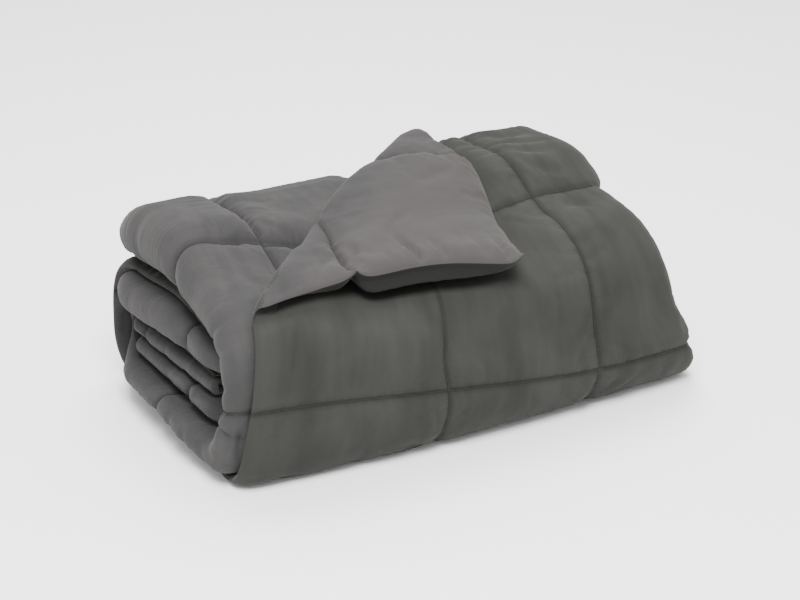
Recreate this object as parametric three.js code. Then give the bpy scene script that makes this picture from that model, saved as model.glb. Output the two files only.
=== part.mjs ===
// A quilted duvet, folded lengthways in three and then rolled flat, with one corner turned back.
// Millimetres. X runs along the bundle, Y from its front to its back, Z up from the surface.
// It is worked out as the duvet lying flat (across, along), and each flat point is carried to its
// place in the bundle.

import * as THREE from 'three';

// The duvet laid flat
const FIRST_BOX = 295;          // free edge to the first seam, across the duvet
const BOX_ACROSS = 264;         // seam to seam, across the duvet
const SEAMS_ACROSS = 7;
const LAST_BOX = 285;           // outer end to the nearest seam, along the duvet
const BOX_ALONG = 293;          // seam to seam, along the duvet
const SEAMS_ALONG = 7;
const DRAW_IN = 50;             // how far from a seam the filling is still drawn in
const DRAW_IN_ROUND = 3;        // higher is steeper at the seam and flatter beyond it
const EDGE_THICKNESS = 7;       // two cloths and a turned seam, with no filling
const LAYER_GAP = 2.5;          // kept between cloth that lies on cloth

// The rolled bundle
const FRONT_CENTRE = 125;       // Y of the front bends, before the origin is moved
const BACK_CENTRE = 135;        // Y of the back bends
const TURN_GAP = 3.5;           // between one turn and the next
const CORE_GAP = 2;             // half the slot that the innermost turn closes on
const FRONT_SQUARE_LEFT = 3.4;  // 2 is a round bend, higher is squarer
const FRONT_SQUARE_RIGHT = 2.15;
const FRONT_ROUNDER = [-330, 170]; // X where the front bend starts to get rounder, and where it is
const FRONT_SQUARE_UNDER = 0.7; // added towards the underside, which is pressed flat
const FRONT_UNDER = [1.96, 0];  // how far round the bend, in radians, that reaches
const BACK_SQUARE = 2.7;
const TURN_SHARE = { top: 0.3, back: 0.2, bottom: 0.3, front: 0.2 };
const LAST_TURN = 2.335;        // where the outer end lies, just over the back edge

// Thickness of the folded strip, turn by turn from the middle outwards
const STRIP = [
  { turn: 0.00, thick: 40 },
  { turn: 0.15, thick: 44 },
  { turn: 0.30, thick: 40 },
  { turn: 0.40, thick: 36 },
  { turn: 0.50, thick: 40 },
  { turn: 0.80, thick: 40 },
  { turn: 0.90, thick: 36 },
  { turn: 1.00, thick: 66 },
  { turn: 1.15, thick: 82 },
  { turn: 1.30, thick: 74 },
  { turn: 1.40, thick: 56 },
  { turn: 1.50, thick: 66 },
  { turn: 1.80, thick: 66 },
  { turn: 1.90, thick: 70 },
  { turn: 2.00, thick: 96 },
  { turn: 2.15, thick: 132 },
  { turn: 2.29, thick: 132 },
  { turn: 2.34, thick: 70 },
];

// The three layers of the strip: each one's share of its thickness, and its length across
const OUTER_SHARE = 0.27;
const MIDDLE_SHARE = 0.37;
const INNER_SHARE = 0.36;
const OUTER_LAYER = 702;
const MIDDLE_LAYER = 709;
const INNER_LAYER = 700;

// Where the strip ends, turn by turn: the left fold, and the free edge of the outer layer
const LEFT_END = [
  { turn: 0.00, fold: -337, edge: -345 },
  { turn: 0.30, fold: -345, edge: -345 },
  { turn: 0.40, fold: -305, edge: -350 },
  { turn: 0.50, fold: -345, edge: -350 },
  { turn: 0.78, fold: -348, edge: -345 },
  { turn: 0.90, fold: -300, edge: -335 },
  { turn: 1.01, fold: -340, edge: -345 },
  { turn: 1.28, fold: -358, edge: -350 },
  { turn: 1.40, fold: -315, edge: -358 },
  { turn: 1.52, fold: -365, edge: -352 },
  { turn: 1.75, fold: -370, edge: -350 },
  { turn: 1.85, fold: -360, edge: -360 },
  { turn: 1.92, fold: -350, edge: -348 },
  { turn: 2.03, fold: -330, edge: -295 },
  { turn: 2.20, fold: -322, edge: -295 },
];
const RIGHT_FOLD = 374;
const FOLD_LENGTH = 50;         // cloth taken up in going round a fold
const FOLD_SLOT = 1;            // half the slot left inside a fold
const INNER_LAYER_END = 365;    // free edge of the inner layer, at the right

// The turned-back corner, measured on the flat duvet from that corner
const CORNER_ALONG = 475;
const CORNER_ACROSS = 525;
const CORNER_RADIUS = 15;       // of the bend that it is turned over, at the back
const CORNER_TIGHT = 0.35;      // part of that radius left at the front
const CORNER_WIDENS = [0, 250]; // along the bend, from the front
const CORNER_SWING = 0.16;      // radians that its edge is pulled round towards the back
const CORNER_SWING_BACK = 0.06; // less by this at its tip
const CORNER_SWUNG = [100, 300]; // beyond the bend, where that loss begins and is full
const CORNER_SQUARE = 1.5;      // how much squarer it goes over the front bend than what it lies on
const CORNER_SQUARED = [0, 60]; // beyond its own bend, where that begins and is full
const CORNER_STAND = { by: 12, past: [0, 90], lessPast: [110, 280], less: 0.8, towardsBack: [500, 250] };
const CORNER_FLARE = { by: 15, across: 120, past: [0, 120] }; // how far its edge turns up
const CORNER_LOFT = { part: 0.15, past: [0, 50] };            // fuller than cloth that is lain on
const CORNER_PRESS = 0.5;       // how much thinner it is where it bends over
const CORNER_PRESS_OVER = 45;
const COVERED_PRESS = 0.5;      // how much thinner the cloth is that the corner lies on
const COVERED_EDGE = 60;

// Sag and lean of the whole bundle. Each list gives the place where it begins and where it is full.
const LOW_LEAN = { by: 24, x: [-340, -140], z: [200, 70] };     // the underside lies further to the right
const RIGHT_LEAN = { low: 0.324, high: 0.162, x: [220, 400], middle: 170 }; // slope of the right end
const RIGHT_SINK = { part: 0.05, x: [-50, 400] };
const LEFT_RISE = { part: 0.03, x: [-100, -300] };
const LEFT_LIFT = { by: 22, x: [-280, -380], y: [-250, 0], z: [110, 0], steeper: 1.5 };
const TOP_DIP = {
  by: 25,
  left: [-270, -100],
  right: [270, 120],
  front: [-280, -160],
  back: [220, 20],
  z: [200, 310],
};
const FRONT_BOW = { by: 30, y: [0, -200], middle: 50, half: 430 };

// How far round the roll has slipped at its two ends
const LEFT_SLIP = 10;
const RIGHT_SLIP = -35;
const INNER_SLIP = 0.65;        // part of it on the inner turns
const SLIP_X = [-330, 320];
const SLIP_ALONG = [0, 600];
const SLIP_TURN = [1.1, 1.7];

const { sin, cos, hypot, min, max, abs, PI } = Math;
const clamp = (v, low, high) => min(max(v, low), high);
const ease = (v) => {
  const t = clamp(v, 0, 1);
  return t * t * (3 - 2 * t);
};
const between = (value, [from, to]) => ease((value - from) / (to - from));

// Eased reading of a column in one of the tables above
function read(table, column, turn) {
  let row = 0;
  while (row < table.length - 2 && turn >= table[row + 1].turn) {
    row += 1;
  }
  const a = table[row];
  const b = table[row + 1];
  const part = clamp((turn - a.turn) / (b.turn - a.turn), 0, 1);
  return a[column] + (b[column] - a[column]) * ease(part);
}

const stripThickness = (turn) => read(STRIP, 'thick', turn);

// Distance from the slot in the middle of the bundle to the inner face of the strip
function innerRadius(turn) {
  if (turn >= 1) {
    return innerRadius(turn - 1) + stripThickness(turn - 1) + TURN_GAP;
  }
  const closing = ease((turn - 0.78) / 0.22);
  return CORE_GAP + (stripThickness(0) + TURN_GAP) * closing;
}

// Height of the slot, so that the lowest turn rests on the surface
function slotHeight() {
  let lowest = 0;
  for (let turn = 1.5; turn <= 1.8; turn += 0.01) {
    lowest = max(lowest, innerRadius(turn) + stripThickness(turn));
  }
  return lowest;
}
const SLOT_HEIGHT = slotHeight();

const squared = (angle, power) => (abs(sin(angle)) ** power + abs(cos(angle)) ** power) ** (-1 / power);

// A point of the bundle's section: turn says how far round it is, radius how far out
function section(turn, radius, x, squarer = 0) {
  const part = turn - Math.floor(turn);
  const { top, back, bottom, front } = TURN_SHARE;
  const flat = FRONT_CENTRE + BACK_CENTRE;
  if (part < top) {
    return [-FRONT_CENTRE + flat * part / top, SLOT_HEIGHT + radius];
  }
  if (part < top + back) {
    const angle = PI * (part - top) / back;
    const reach = radius * squared(angle, BACK_SQUARE);
    return [BACK_CENTRE + reach * sin(angle), SLOT_HEIGHT + reach * cos(angle)];
  }
  if (part < top + back + bottom) {
    return [BACK_CENTRE - flat * (part - top - back) / bottom, SLOT_HEIGHT - radius];
  }
  const angle = PI * (part - top - back - bottom) / front;
  const round = between(x, FRONT_ROUNDER);
  const under = FRONT_SQUARE_UNDER * round * between(angle, FRONT_UNDER);
  const power = FRONT_SQUARE_LEFT + (FRONT_SQUARE_RIGHT - FRONT_SQUARE_LEFT) * round + under + squarer;
  const reach = radius * squared(angle, power);
  return [-FRONT_CENTRE - reach * sin(angle), SLOT_HEIGHT - reach * cos(angle)];
}

// Sag of the whole bundle: lower at the right, hollow on top, its left end a little off the surface
function settle(x, y, z) {
  const low = LOW_LEAN.by * between(z, LOW_LEAN.z) * between(x, LOW_LEAN.x);
  const slope = z > RIGHT_LEAN.middle ? RIGHT_LEAN.high : RIGHT_LEAN.low;
  const lean = slope * between(x, RIGHT_LEAN.x) * (RIGHT_LEAN.middle - z);
  const sink = 1 - RIGHT_SINK.part * between(x, RIGHT_SINK.x) + LEFT_RISE.part * between(x, LEFT_RISE.x);
  const liftAcross = between(y, LEFT_LIFT.y) * between(z, LEFT_LIFT.z);
  const lift = LEFT_LIFT.by * between(x, LEFT_LIFT.x) ** LEFT_LIFT.steeper * liftAcross;
  const dipAcross = between(y, TOP_DIP.front) * between(y, TOP_DIP.back);
  const dipAlong = between(x, TOP_DIP.left) * between(x, TOP_DIP.right);
  const dip = TOP_DIP.by * between(z, TOP_DIP.z) * dipAlong * dipAcross;
  const bow = FRONT_BOW.by * between(y, FRONT_BOW.y) * (1 - ((x - FRONT_BOW.middle) / FRONT_BOW.half) ** 2);
  return new THREE.Vector3(x + low + lean, y - bow, z * sink + lift - dip);
}

// Length of the duvet from its inner end to each turn, measured along the middle of the strip
const TURN_STEP = 0.0005;
const LENGTH_AT = [0];
for (let i = 1; i * TURN_STEP <= LAST_TURN + 0.05; i += 1) {
  const place = (turn) => section(turn, innerRadius(turn) + stripThickness(turn) / 2, 0);
  const [y0, z0] = place((i - 1) * TURN_STEP);
  const [y1, z1] = place(i * TURN_STEP);
  LENGTH_AT.push(LENGTH_AT[i - 1] + hypot(y1 - y0, z1 - z0));
}

function alongAt(turn) {
  const i = min(Math.floor(turn / TURN_STEP + 1e-9), LENGTH_AT.length - 2);
  return LENGTH_AT[i] + (LENGTH_AT[i + 1] - LENGTH_AT[i]) * (turn / TURN_STEP - i);
}

function turnAt(along) {
  let low = 0;
  let high = LENGTH_AT.length - 1;
  while (high - low > 1) {
    const mid = (low + high) >> 1;
    if (LENGTH_AT[mid] <= along) {
      low = mid;
    } else {
      high = mid;
    }
  }
  return (low + (along - LENGTH_AT[low]) / (LENGTH_AT[high] - LENGTH_AT[low])) * TURN_STEP;
}

const LENGTH = alongAt(LAST_TURN);
const OUTER_END = OUTER_LAYER;
const MIDDLE_START = OUTER_END + FOLD_LENGTH;
const MIDDLE_END = MIDDLE_START + MIDDLE_LAYER;
const INNER_START = MIDDLE_END + FOLD_LENGTH;
const WIDTH = INNER_START + INNER_LAYER;

const seamsAcross = Array.from({ length: SEAMS_ACROSS }, (_, i) => FIRST_BOX + BOX_ACROSS * i);
const seamsAlong = Array.from({ length: SEAMS_ALONG }, (_, i) => LENGTH - LAST_BOX - BOX_ALONG * i);

// 0 on a seam or an edge, 1 in the full part of a box
function fullness(place, seams, end) {
  let near = min(place, end - place);
  for (const seam of seams) {
    near = min(near, abs(place - seam));
  }
  return 1 - (1 - clamp(near / DRAW_IN, 0, 1)) ** DRAW_IN_ROUND;
}

function layerThickness(across, along, turn) {
  const a = fullness(across, seamsAcross, WIDTH);
  const b = fullness(along, seamsAlong, LENGTH);
  const toMiddle = ease((across - OUTER_END) / FOLD_LENGTH);
  const toInner = ease((across - MIDDLE_END) / FOLD_LENGTH);
  const outerOrMiddle = OUTER_SHARE + (MIDDLE_SHARE - OUTER_SHARE) * toMiddle;
  const share = outerOrMiddle + (INNER_SHARE - MIDDLE_SHARE) * toInner;
  const full = stripThickness(turn) * share - LAYER_GAP;
  return EDGE_THICKNESS + (full - EDGE_THICKNESS) * (0.6 * min(a, b) + 0.4 * a * b);
}

// Where a point across the duvet lies in the folded strip: its X, its level from 0 (inner face of
// the strip) to 1 (outer face), and the way its velvet side looks, in X and out of the bundle
function strip(across, turn, half) {
  const left = read(LEFT_END, 'fold', turn);
  const edge = read(LEFT_END, 'edge', turn);
  const outer = 1 - OUTER_SHARE / 2;
  const middle = INNER_SHARE + MIDDLE_SHARE / 2;
  const inner = INNER_SHARE / 2;
  const nose = abs(half) + FOLD_SLOT;
  if (across <= OUTER_END) {
    return { x: edge + (RIGHT_FOLD - edge) * across / OUTER_END, level: outer, lookX: 0, lookOut: 1 };
  }
  if (across < MIDDLE_START) {
    const a = PI * (across - OUTER_END) / FOLD_LENGTH;
    const level = (outer + middle) / 2 + (outer - middle) / 2 * cos(a);
    return { x: RIGHT_FOLD + nose * sin(a), level, lookX: sin(a), lookOut: cos(a) };
  }
  if (across <= MIDDLE_END) {
    const part = (across - MIDDLE_START) / (MIDDLE_END - MIDDLE_START);
    return { x: RIGHT_FOLD + (left - RIGHT_FOLD) * part, level: middle, lookX: 0, lookOut: -1 };
  }
  if (across < INNER_START) {
    const a = PI * (across - MIDDLE_END) / FOLD_LENGTH;
    const level = (middle + inner) / 2 + (middle - inner) / 2 * cos(a);
    return { x: left - nose * sin(a), level, lookX: sin(a), lookOut: -cos(a) };
  }
  const part = (across - INNER_START) / (WIDTH - INNER_START);
  return { x: left + (INNER_LAYER_END - left) * part, level: inner, lookX: 0, lookOut: 1 };
}

// The line that the corner is folded over, and how far beyond it a flat point lies
const FOLD_LINE = hypot(CORNER_ALONG, CORNER_ACROSS);
const TO_CORNER = { across: -CORNER_ALONG / FOLD_LINE, along: CORNER_ACROSS / FOLD_LINE };
function beyondFold(across, along) {
  return across * TO_CORNER.across + (along - (LENGTH - CORNER_ALONG)) * TO_CORNER.along;
}

// How far a flat point lies under the turned-back corner, from 0 outside it to 1 well inside
function covered(across, along) {
  const before = -beyondFold(across, along);
  const fromFront = across * TO_CORNER.along - (along - (LENGTH - CORNER_ALONG)) * TO_CORNER.across;
  const reachFront = fromFront * CORNER_ACROSS / CORNER_ALONG;
  const reachBack = (FOLD_LINE - fromFront) * CORNER_ALONG / CORNER_ACROSS;
  const inside = min(reachFront, reachBack) - before;
  return ease(inside / COVERED_EDGE) * ease(before / COVERED_EDGE + 1);
}

// Where a flat point of the outer layer goes when its corner is turned back: its new flat place, how
// far it rises off the layer, and how far it has bent over (in radians)
function turnedBack(across, along) {
  const beyond = beyondFold(across, along);
  const fromFront = across * TO_CORNER.along - (along - (LENGTH - CORNER_ALONG)) * TO_CORNER.across;
  const radius = CORNER_RADIUS * (CORNER_TIGHT + (1 - CORNER_TIGHT) * between(fromFront, CORNER_WIDENS));
  const bend = clamp(beyond / radius, 0, PI);
  const past = max(beyond - PI * radius, 0);
  const slide = beyond <= 0 ? 0 : beyond - radius * sin(bend) + past;
  const toEdge = Math.atan2(past, max(fromFront, 1)) / Math.atan2(CORNER_ACROSS, CORNER_ALONG);
  const swing = between(toEdge, [0, 0.9]) * (CORNER_SWING - CORNER_SWING_BACK * between(past, CORNER_SWUNG));
  const a = across - slide * TO_CORNER.across;
  const b = along - slide * TO_CORNER.along - (LENGTH - CORNER_ALONG);
  const towardsBack = a * TO_CORNER.along - b * TO_CORNER.across;
  const stand = CORNER_STAND;
  const overBend = between(past, stand.past) * (1 - stand.less * between(past, stand.lessPast));
  const lifted = stand.by * overBend * between(towardsBack, stand.towardsBack);
  const flare = max(1 - across / CORNER_FLARE.across, 0) ** 2 * between(past, CORNER_FLARE.past);
  return {
    across: a * cos(swing) - b * sin(swing),
    along: a * sin(swing) + b * cos(swing) + LENGTH - CORNER_ALONG,
    rise: radius * (1 - cos(bend)) + lifted + CORNER_FLARE.by * flare,
    bend,
    past,
    fromBend: beyond - PI * radius / 2,
  };
}

// The roll has slipped round a little at its ends, which moves the cloth along its own turns
function slipped(along, x) {
  const slip = LEFT_SLIP + (RIGHT_SLIP - LEFT_SLIP) * between(x, SLIP_X);
  const tightening = INNER_SLIP + (1 - INNER_SLIP) * between(turnAt(along), SLIP_TURN);
  return turnAt(along + slip * tightening * between(along, SLIP_ALONG));
}

// One face of the duvet: side is 1 for the velvet and -1 for the plain reverse
function facePoint(across, along, side) {
  if (across > OUTER_END) {
    const turn = slipped(along, strip(across, turnAt(along), 0).x);
    const half = side * layerThickness(across, along, turn) / 2;
    const s = strip(across, turn, half);
    const radius = innerRadius(turn) + stripThickness(turn) * s.level + half * s.lookOut;
    const x = s.x + half * s.lookX;
    return settle(x, ...section(turn, radius, x));
  }
  const t = turnedBack(across, along);
  const under = turnAt(t.along);
  const round = slipped(t.along, strip(t.across, under, 0).x) - under;
  const half = side * layerThickness(across, along, turnAt(along) + round) / 2;
  const pressed = 1 - CORNER_PRESS * Math.exp(-((t.fromBend / CORNER_PRESS_OVER) ** 2));
  const thinner = COVERED_PRESS * (t.past > 0 ? 0 : covered(across, along));
  const fuller = 1 + CORNER_LOFT.part * between(t.past, CORNER_LOFT.past);
  const out = half * pressed * fuller - (half + abs(half)) * thinner;
  const newAcross = t.across - out * sin(t.bend) * TO_CORNER.across;
  const newAlong = t.along - out * sin(t.bend) * TO_CORNER.along;
  const s = strip(newAcross, turnAt(newAlong), 0);
  const turn = slipped(newAlong, s.x);
  const radius = innerRadius(turn) + stripThickness(turn) * s.level + t.rise + out * cos(t.bend);
  return settle(s.x, ...section(turn, radius, s.x, CORNER_SQUARE * between(t.past, CORNER_SQUARED)));
}

// The flat duvet cut into cells, closely where it bends
function steps(from, to, count) {
  return Array.from({ length: count }, (_, i) => from + (to - from) * (i + 1) / count);
}

// Lines of the flat cells, with one on every seam and one on each side of it
const SEAM_SIDE = 25;
function aroundSeams(places, seams, sides) {
  const end = places[places.length - 1];
  const clear = places.filter((place) => place <= 0 || place >= end || seams.every(
    (seam) => abs(place - seam) > SEAM_SIDE * (sides(seam) ? 1.6 : 0.9)));
  for (const seam of seams) {
    clear.push(seam);
    if (sides(seam)) {
      clear.push(seam - SEAM_SIDE, seam + SEAM_SIDE);
    }
  }
  return clear.sort((a, b) => a - b);
}

function alongPlaces() {
  const turns = [0];
  const { top, back, bottom, front } = TURN_SHARE;
  for (const [turn, counts] of [[0, [3, 3, 3, 6]], [1, [4, 5, 4, 6]], [2, [6]]]) {
    let from = turn;
    counts.forEach((count, i) => {
      const share = [top, back, bottom, front][i];
      turns.push(...steps(from, from + share, count));
      from += share;
    });
  }
  const lastBend = 2 + top;
  const kept = turns.filter((turn) => turn <= lastBend + 1e-6);
  kept.push(...steps(lastBend, LAST_TURN, 4));
  return aroundSeams(kept.map(alongAt), seamsAlong, (seam) => turnAt(seam) > 1.5);
}

// The three layers share their lines, counted here from the left end to the right
const COLUMNS = [0.09, 0.15, 0.27, 0.42, 0.52, 0.61, 0.70, 0.80, 0.90];
function acrossPlaces() {
  const places = [
    0,
    12,
    ...COLUMNS.map((column) => OUTER_LAYER * column),
    OUTER_END,
    ...steps(OUTER_END, MIDDLE_START, 4),
    ...COLUMNS.toReversed().map((column) => MIDDLE_END - MIDDLE_LAYER * column),
    MIDDLE_END,
    ...steps(MIDDLE_END, INNER_START, 5),
    ...COLUMNS.map((column) => INNER_START + INNER_LAYER * column),
    WIDTH,
  ];
  return aroundSeams(places, seamsAcross, (seam) => seam < OUTER_END);
}

// Cut a flat cell along one line beside the corner's fold, into the part before and the part beyond
function cut(cell, distance) {
  const before = [];
  const after = [];
  cell.forEach((point, i) => {
    const next = cell[(i + 1) % cell.length];
    const a = beyondFold(...point) - distance;
    const b = beyondFold(...next) - distance;
    (a <= 0 ? before : after).push(point);
    if (a * b < 0) {
      const part = a / (a - b);
      const crossing = [point[0] + (next[0] - point[0]) * part, point[1] + (next[1] - point[1]) * part];
      before.push(crossing);
      after.push(crossing);
    }
  });
  return [before, after].filter((piece) => piece.length > 2);
}

function flatCells() {
  const across = acrossPlaces();
  const along = alongPlaces();
  const lines = steps(0, PI * CORNER_RADIUS, 4);
  lines.unshift(0);
  const cells = [];
  for (let i = 0; i < across.length - 1; i += 1) {
    for (let j = 0; j < along.length - 1; j += 1) {
      const cell = [
        [across[i], along[j]],
        [across[i + 1], along[j]],
        [across[i + 1], along[j + 1]],
        [across[i], along[j + 1]],
      ];
      if (across[i] >= OUTER_END && across[i + 1] <= MIDDLE_END) {
        cell.push(cell.shift());
      }
      let pieces = [cell];
      if (across[i + 1] <= OUTER_END) {
        for (const line of lines) {
          pieces = pieces.flatMap((piece) => cut(piece, line));
        }
      }
      cells.push(...pieces);
    }
  }
  return cells;
}

function duvetGeometry() {
  const flat = [];
  const numberOf = new Map();
  const pointNumber = ([across, along]) => {
    const key = `${across.toFixed(3)},${along.toFixed(3)}`;
    if (!numberOf.has(key)) {
      numberOf.set(key, flat.length);
      flat.push([across, along]);
    }
    return numberOf.get(key);
  };
  const sheet = [];
  for (const cell of flatCells()) {
    const ring = cell.map(pointNumber).filter((point, i, all) => point !== all[(i + 1) % all.length]);
    for (let i = 1; i < ring.length - 1; i += 1) {
      sheet.push([ring[0], ring[i], ring[i + 1]]);
    }
  }
  const count = flat.length;
  const velvet = flat.map(([across, along]) => facePoint(across, along, 1));
  const reverse = flat.map(([across, along]) => facePoint(across, along, -1));
  const faces = [];
  const edges = new Map();
  for (const [a, b, c] of sheet) {
    faces.push([a, b, c], [a + count, c + count, b + count]);
    for (const [from, to] of [[a, b], [b, c], [c, a]]) {
      if (!edges.delete(`${to},${from}`)) {
        edges.set(`${from},${to}`, [from, to]);
      }
    }
  }
  for (const [from, to] of edges.values()) {
    faces.push([from, from + count, to], [to, from + count, to + count]);
  }
  return { points: [...velvet, ...reverse], faces };
}

const REST_DEPTH = 4;           // how far the lowest boxes are pressed flat

// Rest flat on the surface, and stand the origin at the middle of the underside
function rest(points) {
  const box = new THREE.Box3().setFromPoints(points);
  const middle = box.getCenter(new THREE.Vector3());
  for (const point of points) {
    point.x -= middle.x;
    point.y -= middle.y;
    point.z = max(point.z - REST_DEPTH, 0);
  }
}

function build() {
  const { points, faces } = duvetGeometry();
  rest(points);
  let volume = 0;
  for (const [a, b, c] of faces) {
    volume += points[a].dot(new THREE.Vector3().crossVectors(points[b], points[c]));
  }
  const positions = [];
  for (const face of faces) {
    const ordered = volume > 0 ? face : [...face].reverse();
    for (const corner of ordered) {
      positions.push(...points[corner].toArray());
    }
  }
  const geometry = new THREE.BufferGeometry();
  geometry.setAttribute('position', new THREE.Float32BufferAttribute(positions, 3));
  geometry.computeVertexNormals();
  const material = new THREE.MeshStandardMaterial({ color: 0x4e524c, roughness: 0.95 });
  const duvet = new THREE.Mesh(geometry, material);
  duvet.name = 'duvet';
  const group = new THREE.Group();
  group.add(duvet);
  return group;
}

export default build();
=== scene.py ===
# A quilted duvet with a velvet face and a brushed reverse, folded lengthways in three, rolled flat,
# with one corner turned back. Metres. X runs along the bundle, Y from its front to its back, Z up.

import math

import bpy
import numpy as np
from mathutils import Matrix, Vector


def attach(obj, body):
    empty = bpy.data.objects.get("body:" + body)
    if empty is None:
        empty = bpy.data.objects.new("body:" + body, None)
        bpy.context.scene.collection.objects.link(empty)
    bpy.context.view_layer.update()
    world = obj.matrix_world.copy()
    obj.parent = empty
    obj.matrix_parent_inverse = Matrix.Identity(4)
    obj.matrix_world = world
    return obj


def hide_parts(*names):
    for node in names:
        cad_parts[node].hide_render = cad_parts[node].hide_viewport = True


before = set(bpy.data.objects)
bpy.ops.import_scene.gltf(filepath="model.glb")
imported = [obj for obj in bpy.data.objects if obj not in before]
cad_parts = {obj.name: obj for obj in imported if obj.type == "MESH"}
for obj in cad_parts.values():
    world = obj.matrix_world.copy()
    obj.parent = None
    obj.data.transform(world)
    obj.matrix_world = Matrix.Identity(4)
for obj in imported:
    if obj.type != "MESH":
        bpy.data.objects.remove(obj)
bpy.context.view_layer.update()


# The velvet face cloth.
# One panel of short pile velvet, sewn to the reverse round its four edges and quilted through the filling
# in boxes. Each flat point (across, along) is carried to its place in the folded and rolled duvet.

FIRST_BOX = 0.295               # free edge to the first seam, across the duvet
BOX_ACROSS = 0.264
SEAMS_ACROSS = 7
LAST_BOX = 0.285                # outer end to the nearest seam, along the duvet
BOX_ALONG = 0.293
SEAMS_ALONG = 7
DRAW_IN = 0.050                 # how far from a seam the filling is still drawn in
DRAW_IN_ROUND = 3.0             # higher is steeper at the seam and flatter beyond it
EDGE_DRAW_IN = 0.030            # the same at the duvet's own edges
EDGE_DRAW_IN_ROUND = 2.4
SEAM_THICKNESS = 0.0045         # two cloths and a line of stitches, with no filling
LAYER_GAP = 0.0012              # kept between cloth that lies on cloth
EDGE_ROUND = 0.004              # the turned edge closes over this
BOX_ROUND = 0.4                 # how far each box is rounded at its corners
FOLD_FULLER = 0.80              # how much less the seams draw in where they go round the left fold
FOLD_REACH = 0.070              # that fades out over this beside the fold
END_TURNS = 0.03                # and isn't so in this last part of a turn
TAUT = 0.4                      # how far the seams are pulled out again where the velvet is taut
TAUT_BEFORE = 0.050             # from this far before the corner's fold it is wholly so

FRONT_CENTRE = 0.125            # Y of the front bends, before the bundle is centred
BACK_CENTRE = 0.135
TURN_GAP = 0.0025               # between one turn and the next
CORE_GAP = 0.002
STEPS_OUT = (0.78, 1.0)         # part of a turn over which the strip steps out on to the turn before
FRONT_SQUARE_LEFT = 3.4         # 2 is a round bend, higher is squarer
FRONT_SQUARE_RIGHT = 2.15
FRONT_ROUNDER = (-0.330, 0.170)  # X where the front bend starts to get rounder, and where it is
FRONT_SQUARE_UNDER = 0.7        # added towards the underside, which is pressed flat
FRONT_UNDER = (1.96, 0.0)       # how far round the bend, in radians, that reaches
BACK_SQUARE = 2.7
TOP_SHARE = 0.3                 # parts of one turn that lie on the top, back, bottom and front
BACK_SHARE = 0.2
BOTTOM_SHARE = 0.3
FRONT_SHARE = 0.2
LAST_TURN = 2.335               # where the outer end lies, just over the back edge
TURN_STEP = 0.0005              # for measuring the length of the turns
PAST_LAST = 0.05

# Thickness of the folded strip, turn by turn from the middle outwards
STRIP = [
    {"turn": 0.00, "thick": 0.040},
    {"turn": 0.15, "thick": 0.044},
    {"turn": 0.30, "thick": 0.040},
    {"turn": 0.40, "thick": 0.036},
    {"turn": 0.50, "thick": 0.040},
    {"turn": 0.80, "thick": 0.040},
    {"turn": 0.90, "thick": 0.036},
    {"turn": 1.00, "thick": 0.066},
    {"turn": 1.15, "thick": 0.082},
    {"turn": 1.30, "thick": 0.074},
    {"turn": 1.40, "thick": 0.056},
    {"turn": 1.50, "thick": 0.066},
    {"turn": 1.80, "thick": 0.066},
    {"turn": 1.90, "thick": 0.070},
    {"turn": 2.00, "thick": 0.096},
    {"turn": 2.15, "thick": 0.132},
    {"turn": 2.29, "thick": 0.132},
    {"turn": 2.34, "thick": 0.070},
]
OUTER_SHARE = 0.27              # each layer's share of the strip's thickness
MIDDLE_SHARE = 0.37
INNER_SHARE = 0.36
OUTER_LAYER = 0.702             # each layer's length across, between the folds
MIDDLE_LAYER = 0.709
INNER_LAYER = 0.700

# Where the strip ends at the left, turn by turn: its fold, and the free edge of the outer layer
LEFT_END = [
    {"turn": 0.00, "fold": -0.337, "edge": -0.345},
    {"turn": 0.30, "fold": -0.345, "edge": -0.345},
    {"turn": 0.40, "fold": -0.305, "edge": -0.350},
    {"turn": 0.50, "fold": -0.345, "edge": -0.350},
    {"turn": 0.78, "fold": -0.348, "edge": -0.345},
    {"turn": 0.90, "fold": -0.300, "edge": -0.335},
    {"turn": 1.01, "fold": -0.340, "edge": -0.345},
    {"turn": 1.28, "fold": -0.358, "edge": -0.350},
    {"turn": 1.40, "fold": -0.315, "edge": -0.358},
    {"turn": 1.52, "fold": -0.365, "edge": -0.352},
    {"turn": 1.75, "fold": -0.370, "edge": -0.350},
    {"turn": 1.85, "fold": -0.360, "edge": -0.360},
    {"turn": 1.92, "fold": -0.350, "edge": -0.348},
    {"turn": 2.03, "fold": -0.330, "edge": -0.295},
    {"turn": 2.20, "fold": -0.322, "edge": -0.295},
]
RIGHT_FOLD = 0.374
FOLD_LENGTH = 0.050             # cloth taken up in going round a fold
FOLD_SLOT = 0.001
INNER_LAYER_END = 0.365

CORNER_ALONG = 0.475            # the turned-back corner, measured on the flat duvet
CORNER_ACROSS = 0.525
CORNER_RADIUS = 0.0190          # of the bend that it is turned over, at the back
CORNER_TIGHT = 0.35             # part of that radius left at the front
CORNER_WIDENS = (0.0, 0.250)    # along the bend, from the front
CORNER_TURNED = (0.0, 0.060)    # past the bend, where it comes to lie on the top
CORNER_SWING = 0.16             # radians that the corner is pulled round towards the back
CORNER_SWING_TO = (0.0, 0.9)    # from its fold, 0, towards its front edge, 1
CORNER_SWING_BACK = 0.06        # less by this at its tip
CORNER_SWUNG = (0.100, 0.300)
CORNER_FRONT = 0.001            # the angle at the very front is taken here
CORNER_SQUARE = 1.5             # how much squarer it goes over the front bend than what it lies on
CORNER_STAND = 0.012            # how far it stands off the front bend
CORNER_STANDS = (0.0, 0.090)
CORNER_STAND_FRONT = (0.500, 0.250)     # from the back to the front, where it does so
CORNER_SETTLE = 0.8             # part of that lost towards its tip
CORNER_SETTLES = (0.110, 0.280)
CORNER_FLARE = 0.001            # how far its edge turns up
CORNER_FLARE_OVER = 0.120
CORNER_FLARES = (0.0, 0.120)
CORNER_RIM = 0.020              # how far its front edge is carried up, over the bulge of the velvet
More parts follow.
